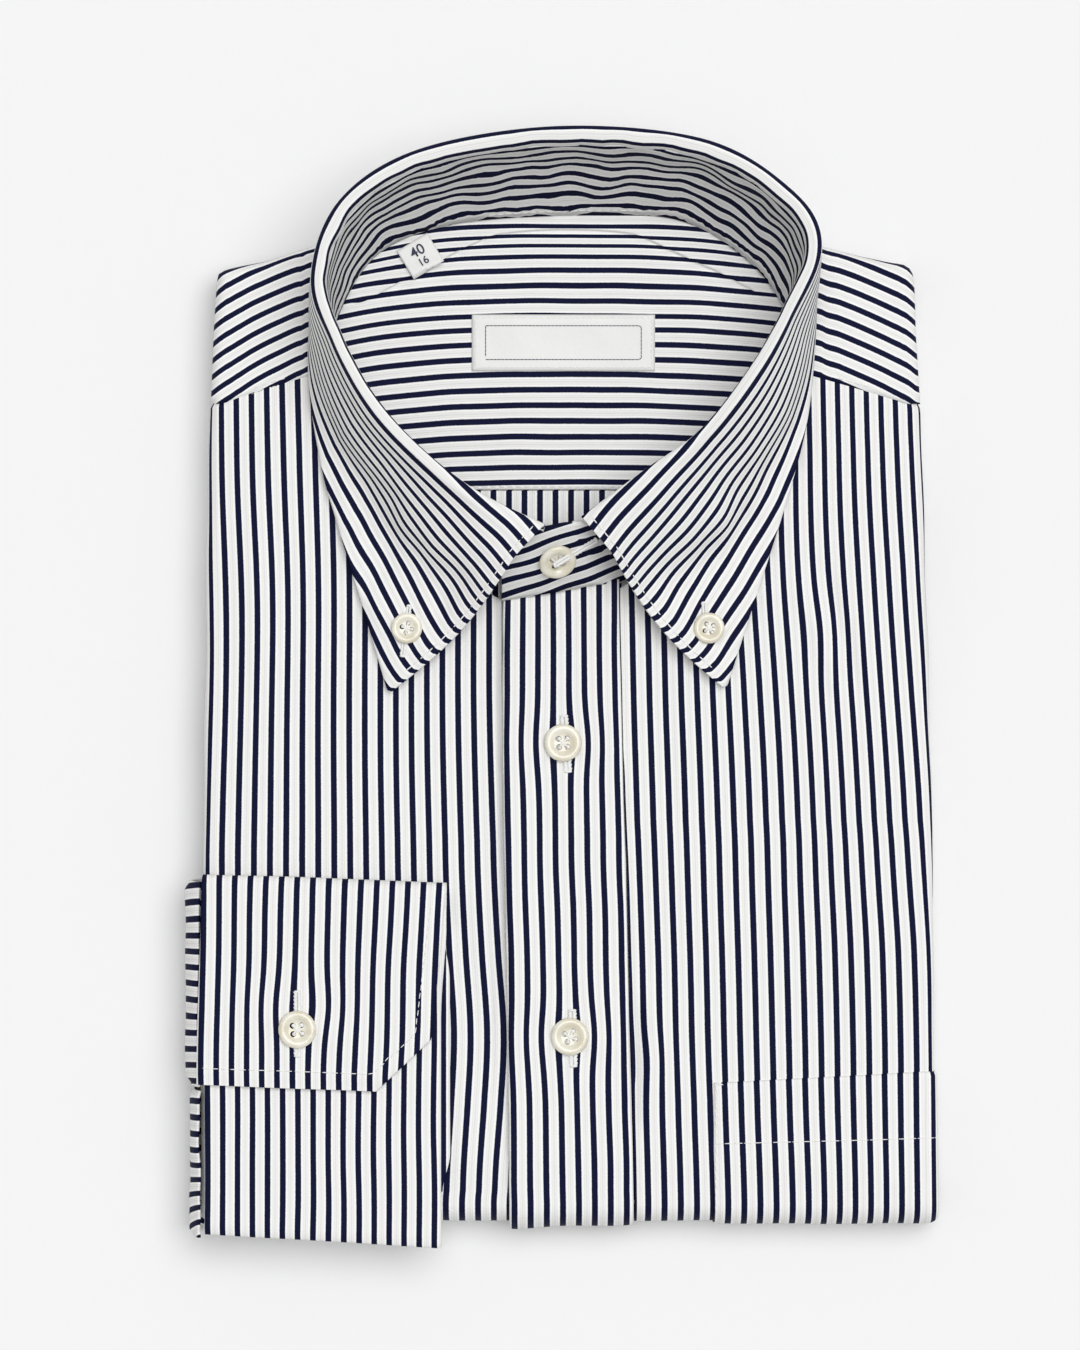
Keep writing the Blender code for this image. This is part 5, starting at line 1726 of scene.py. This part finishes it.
class SHIRT_OT_labels(bpy.types.Operator):
    """Sew in the bare neck label and the size tab"""

    bl_idname = "shirt.labels"
    bl_label = "Labels"

    def execute(self, context):
        label = self.lay("neck_label", "main_label", LABEL_CENTRE, LABEL_SIZE, 0, 0.53)
        tab = self.lay("size_label", "size_tab", TAB_CENTRE, TAB_SIZE, TAB_TURN, 1.08)
        edge = stitch_run(self.ring(label, 0.06, 0.02), 1.3, 0.5, 0.16)
        sew("label_stitching", edge)
        border = stitch_run(self.ring(label, 0.2, 0.075), 1.15, 0.02, 0.13)
        sew("label_border", border, print_finish())
        for number in TAB_NUMBERS:
            self.number(tab, *number)
        return {"FINISHED"}

    def ring(self, cloth, row, column):
        """Places round a label, those shares in from its edges."""
        path = [(row, column), (row, 1 - column), (1 - row, 1 - column), (1 - row, column)]
        return cloth.run_on(path + path[:1], 60)

    def lay(self, name, node, centre, size, turn, lift):
        angle = math.radians(turn)
        wide, tall = 60, 24
        rows = []
        for up in steps(tall):
            line = []
            for across in steps(wide):
                u = (across - 0.5) * size[0]
                v = (up - 0.5) * size[1]
                rim = min(across * wide, (1 - across) * wide, up * tall, (1 - up) * tall)
                x = centre[0] + u * math.cos(angle) - v * math.sin(angle)
                y = centre[1] + u * math.sin(angle) + v * math.cos(angle)
                z = inside_height(x, y) + lift + 0.3 * min(rim / 2, 1) + waver(x, y, 9, 0.25, 37.0)
                line.append((Vector((x, y, z)), u, v))
            rows.append(line)
        return lay_cloth(name, rows, LABEL_WALL, node, label_finish(), size)

    def number(self, tab, name, body, tall, along_up):
        """A plain number on the tab, along_up mm above its middle."""
        text = bpy.data.curves.new(name, "FONT")
        text.body = body
        text.size = tall * MM
        text.extrude = 0.03 * MM
        text.offset = 0.03 * MM
        text.align_x = "CENTER"
        text.align_y = "CENTER"
        holder = add_object(name, text)
        mesh = worked_out(holder)
        bpy.data.objects.remove(holder)
        turn = math.radians(TAB_TURN)
        x = TAB_CENTRE[0] - along_up * math.sin(turn)
        y = TAB_CENTRE[1] + along_up * math.cos(turn)
        mesh.transform(Matrix.Translation(Vector((x, y, 0)) * MM) @ Matrix.Rotation(turn, 4, "Z"))
        for vertex in mesh.vertices:
            place, _ = tab.nearest(vertex.co.x / MM, vertex.co.y / MM)
            vertex.co.z += (place.z + 0.25) * MM
        make_piece(name, mesh, print_finish())


# ---- stage, panel and build -------------------------------------------------------------------


class SHIRT_OT_stage(bpy.types.Operator):
    """Set the pale floor, the soft light and the camera over the shirt"""

    bl_idname = "shirt.stage"
    bl_label = "Stage"

    def execute(self, context):
        scene = context.scene
        shape = bmesh.new()
        bmesh.ops.create_grid(shape, x_segments=1, y_segments=1, size=sizes().floor_size / 2)
        floor = add_object("floor", mesh_of("floor", shape))
        floor.location.z = -FLOOR_GAP
        floor.data.materials.append(floor_finish())
        world = bpy.data.worlds.new("Soft room")
        world.use_nodes = True
        background = world.node_tree.nodes["Background"]
        background.inputs["Color"].default_value = (1, 1, 1, 1)
        background.inputs["Strength"].default_value = ROOM_LIGHT
        scene.world = world
        lamp = bpy.data.lights.new("Key", "SUN")
        lamp.angle = math.radians(KEY_SOFTNESS)
        lamp.energy = KEY_POWER
        key = add_object("Key", lamp)
        key.rotation_euler = (-Vector(KEY_TOWARD)).to_track_quat("-Z", "Y").to_euler()
        camera = bpy.data.cameras.new("Camera")
        camera.sensor_fit = "VERTICAL"
        camera.sensor_height = SENSOR
        distance = sizes().camera_distance
        camera.lens = SENSOR * (distance - FRONT_LEVEL) / PICTURE_HEIGHT
        camera.clip_start = 0.05
        camera.clip_end = 20.0
        scene.camera = add_object("Camera", camera)
        scene.camera.location = (*CAMERA_PLACE, distance)
        scene.view_settings.view_transform = "Standard"
        return {"FINISHED"}


OPERATORS = (
    SHIRT_OT_stage,
    SHIRT_OT_layers,
    SHIRT_OT_fronts,
    SHIRT_OT_placket,
    SHIRT_OT_pocket,
    SHIRT_OT_outer_yoke,
    SHIRT_OT_neck_inside,
    SHIRT_OT_stand,
    SHIRT_OT_leaf,
    SHIRT_OT_cuff,
    SHIRT_OT_sleeve,
    SHIRT_OT_buttons,
    SHIRT_OT_labels,
)


class SHIRT_PT_panel(bpy.types.Panel):
    """Lists the shirt's pieces in build order, with its sizes and colours"""

    bl_idname = "SHIRT_PT_panel"
    bl_label = "Folded shirt"
    bl_space_type = "VIEW_3D"
    bl_region_type = "UI"
    bl_category = "Shirt"

    def draw(self, context):
        for group in (context.scene.shirt_sizes, context.scene.shirt_colours):
            column = self.layout.column(align=True)
            for name in group.bl_rna.properties.keys():
                if name not in {"rna_type", "name"}:
                    column.prop(group, name)
        for operator in OPERATORS:
            self.layout.operator(operator.bl_idname)


CLASSES = (ShirtSizes, ShirtColours, *OPERATORS, SHIRT_PT_panel)


def register():
    for cls in CLASSES:
        bpy.utils.register_class(cls)
    bpy.types.Scene.shirt_sizes = PointerProperty(type=ShirtSizes)
    bpy.types.Scene.shirt_colours = PointerProperty(type=ShirtColours)


def unregister():
    del bpy.types.Scene.shirt_colours
    del bpy.types.Scene.shirt_sizes
    for cls in reversed(CLASSES):
        bpy.utils.unregister_class(cls)


def main():
    register()
    for operator in OPERATORS:
        group, name = operator.bl_idname.split(".")
        getattr(getattr(bpy.ops, group), name)()


if __name__ == "__main__":
    main()
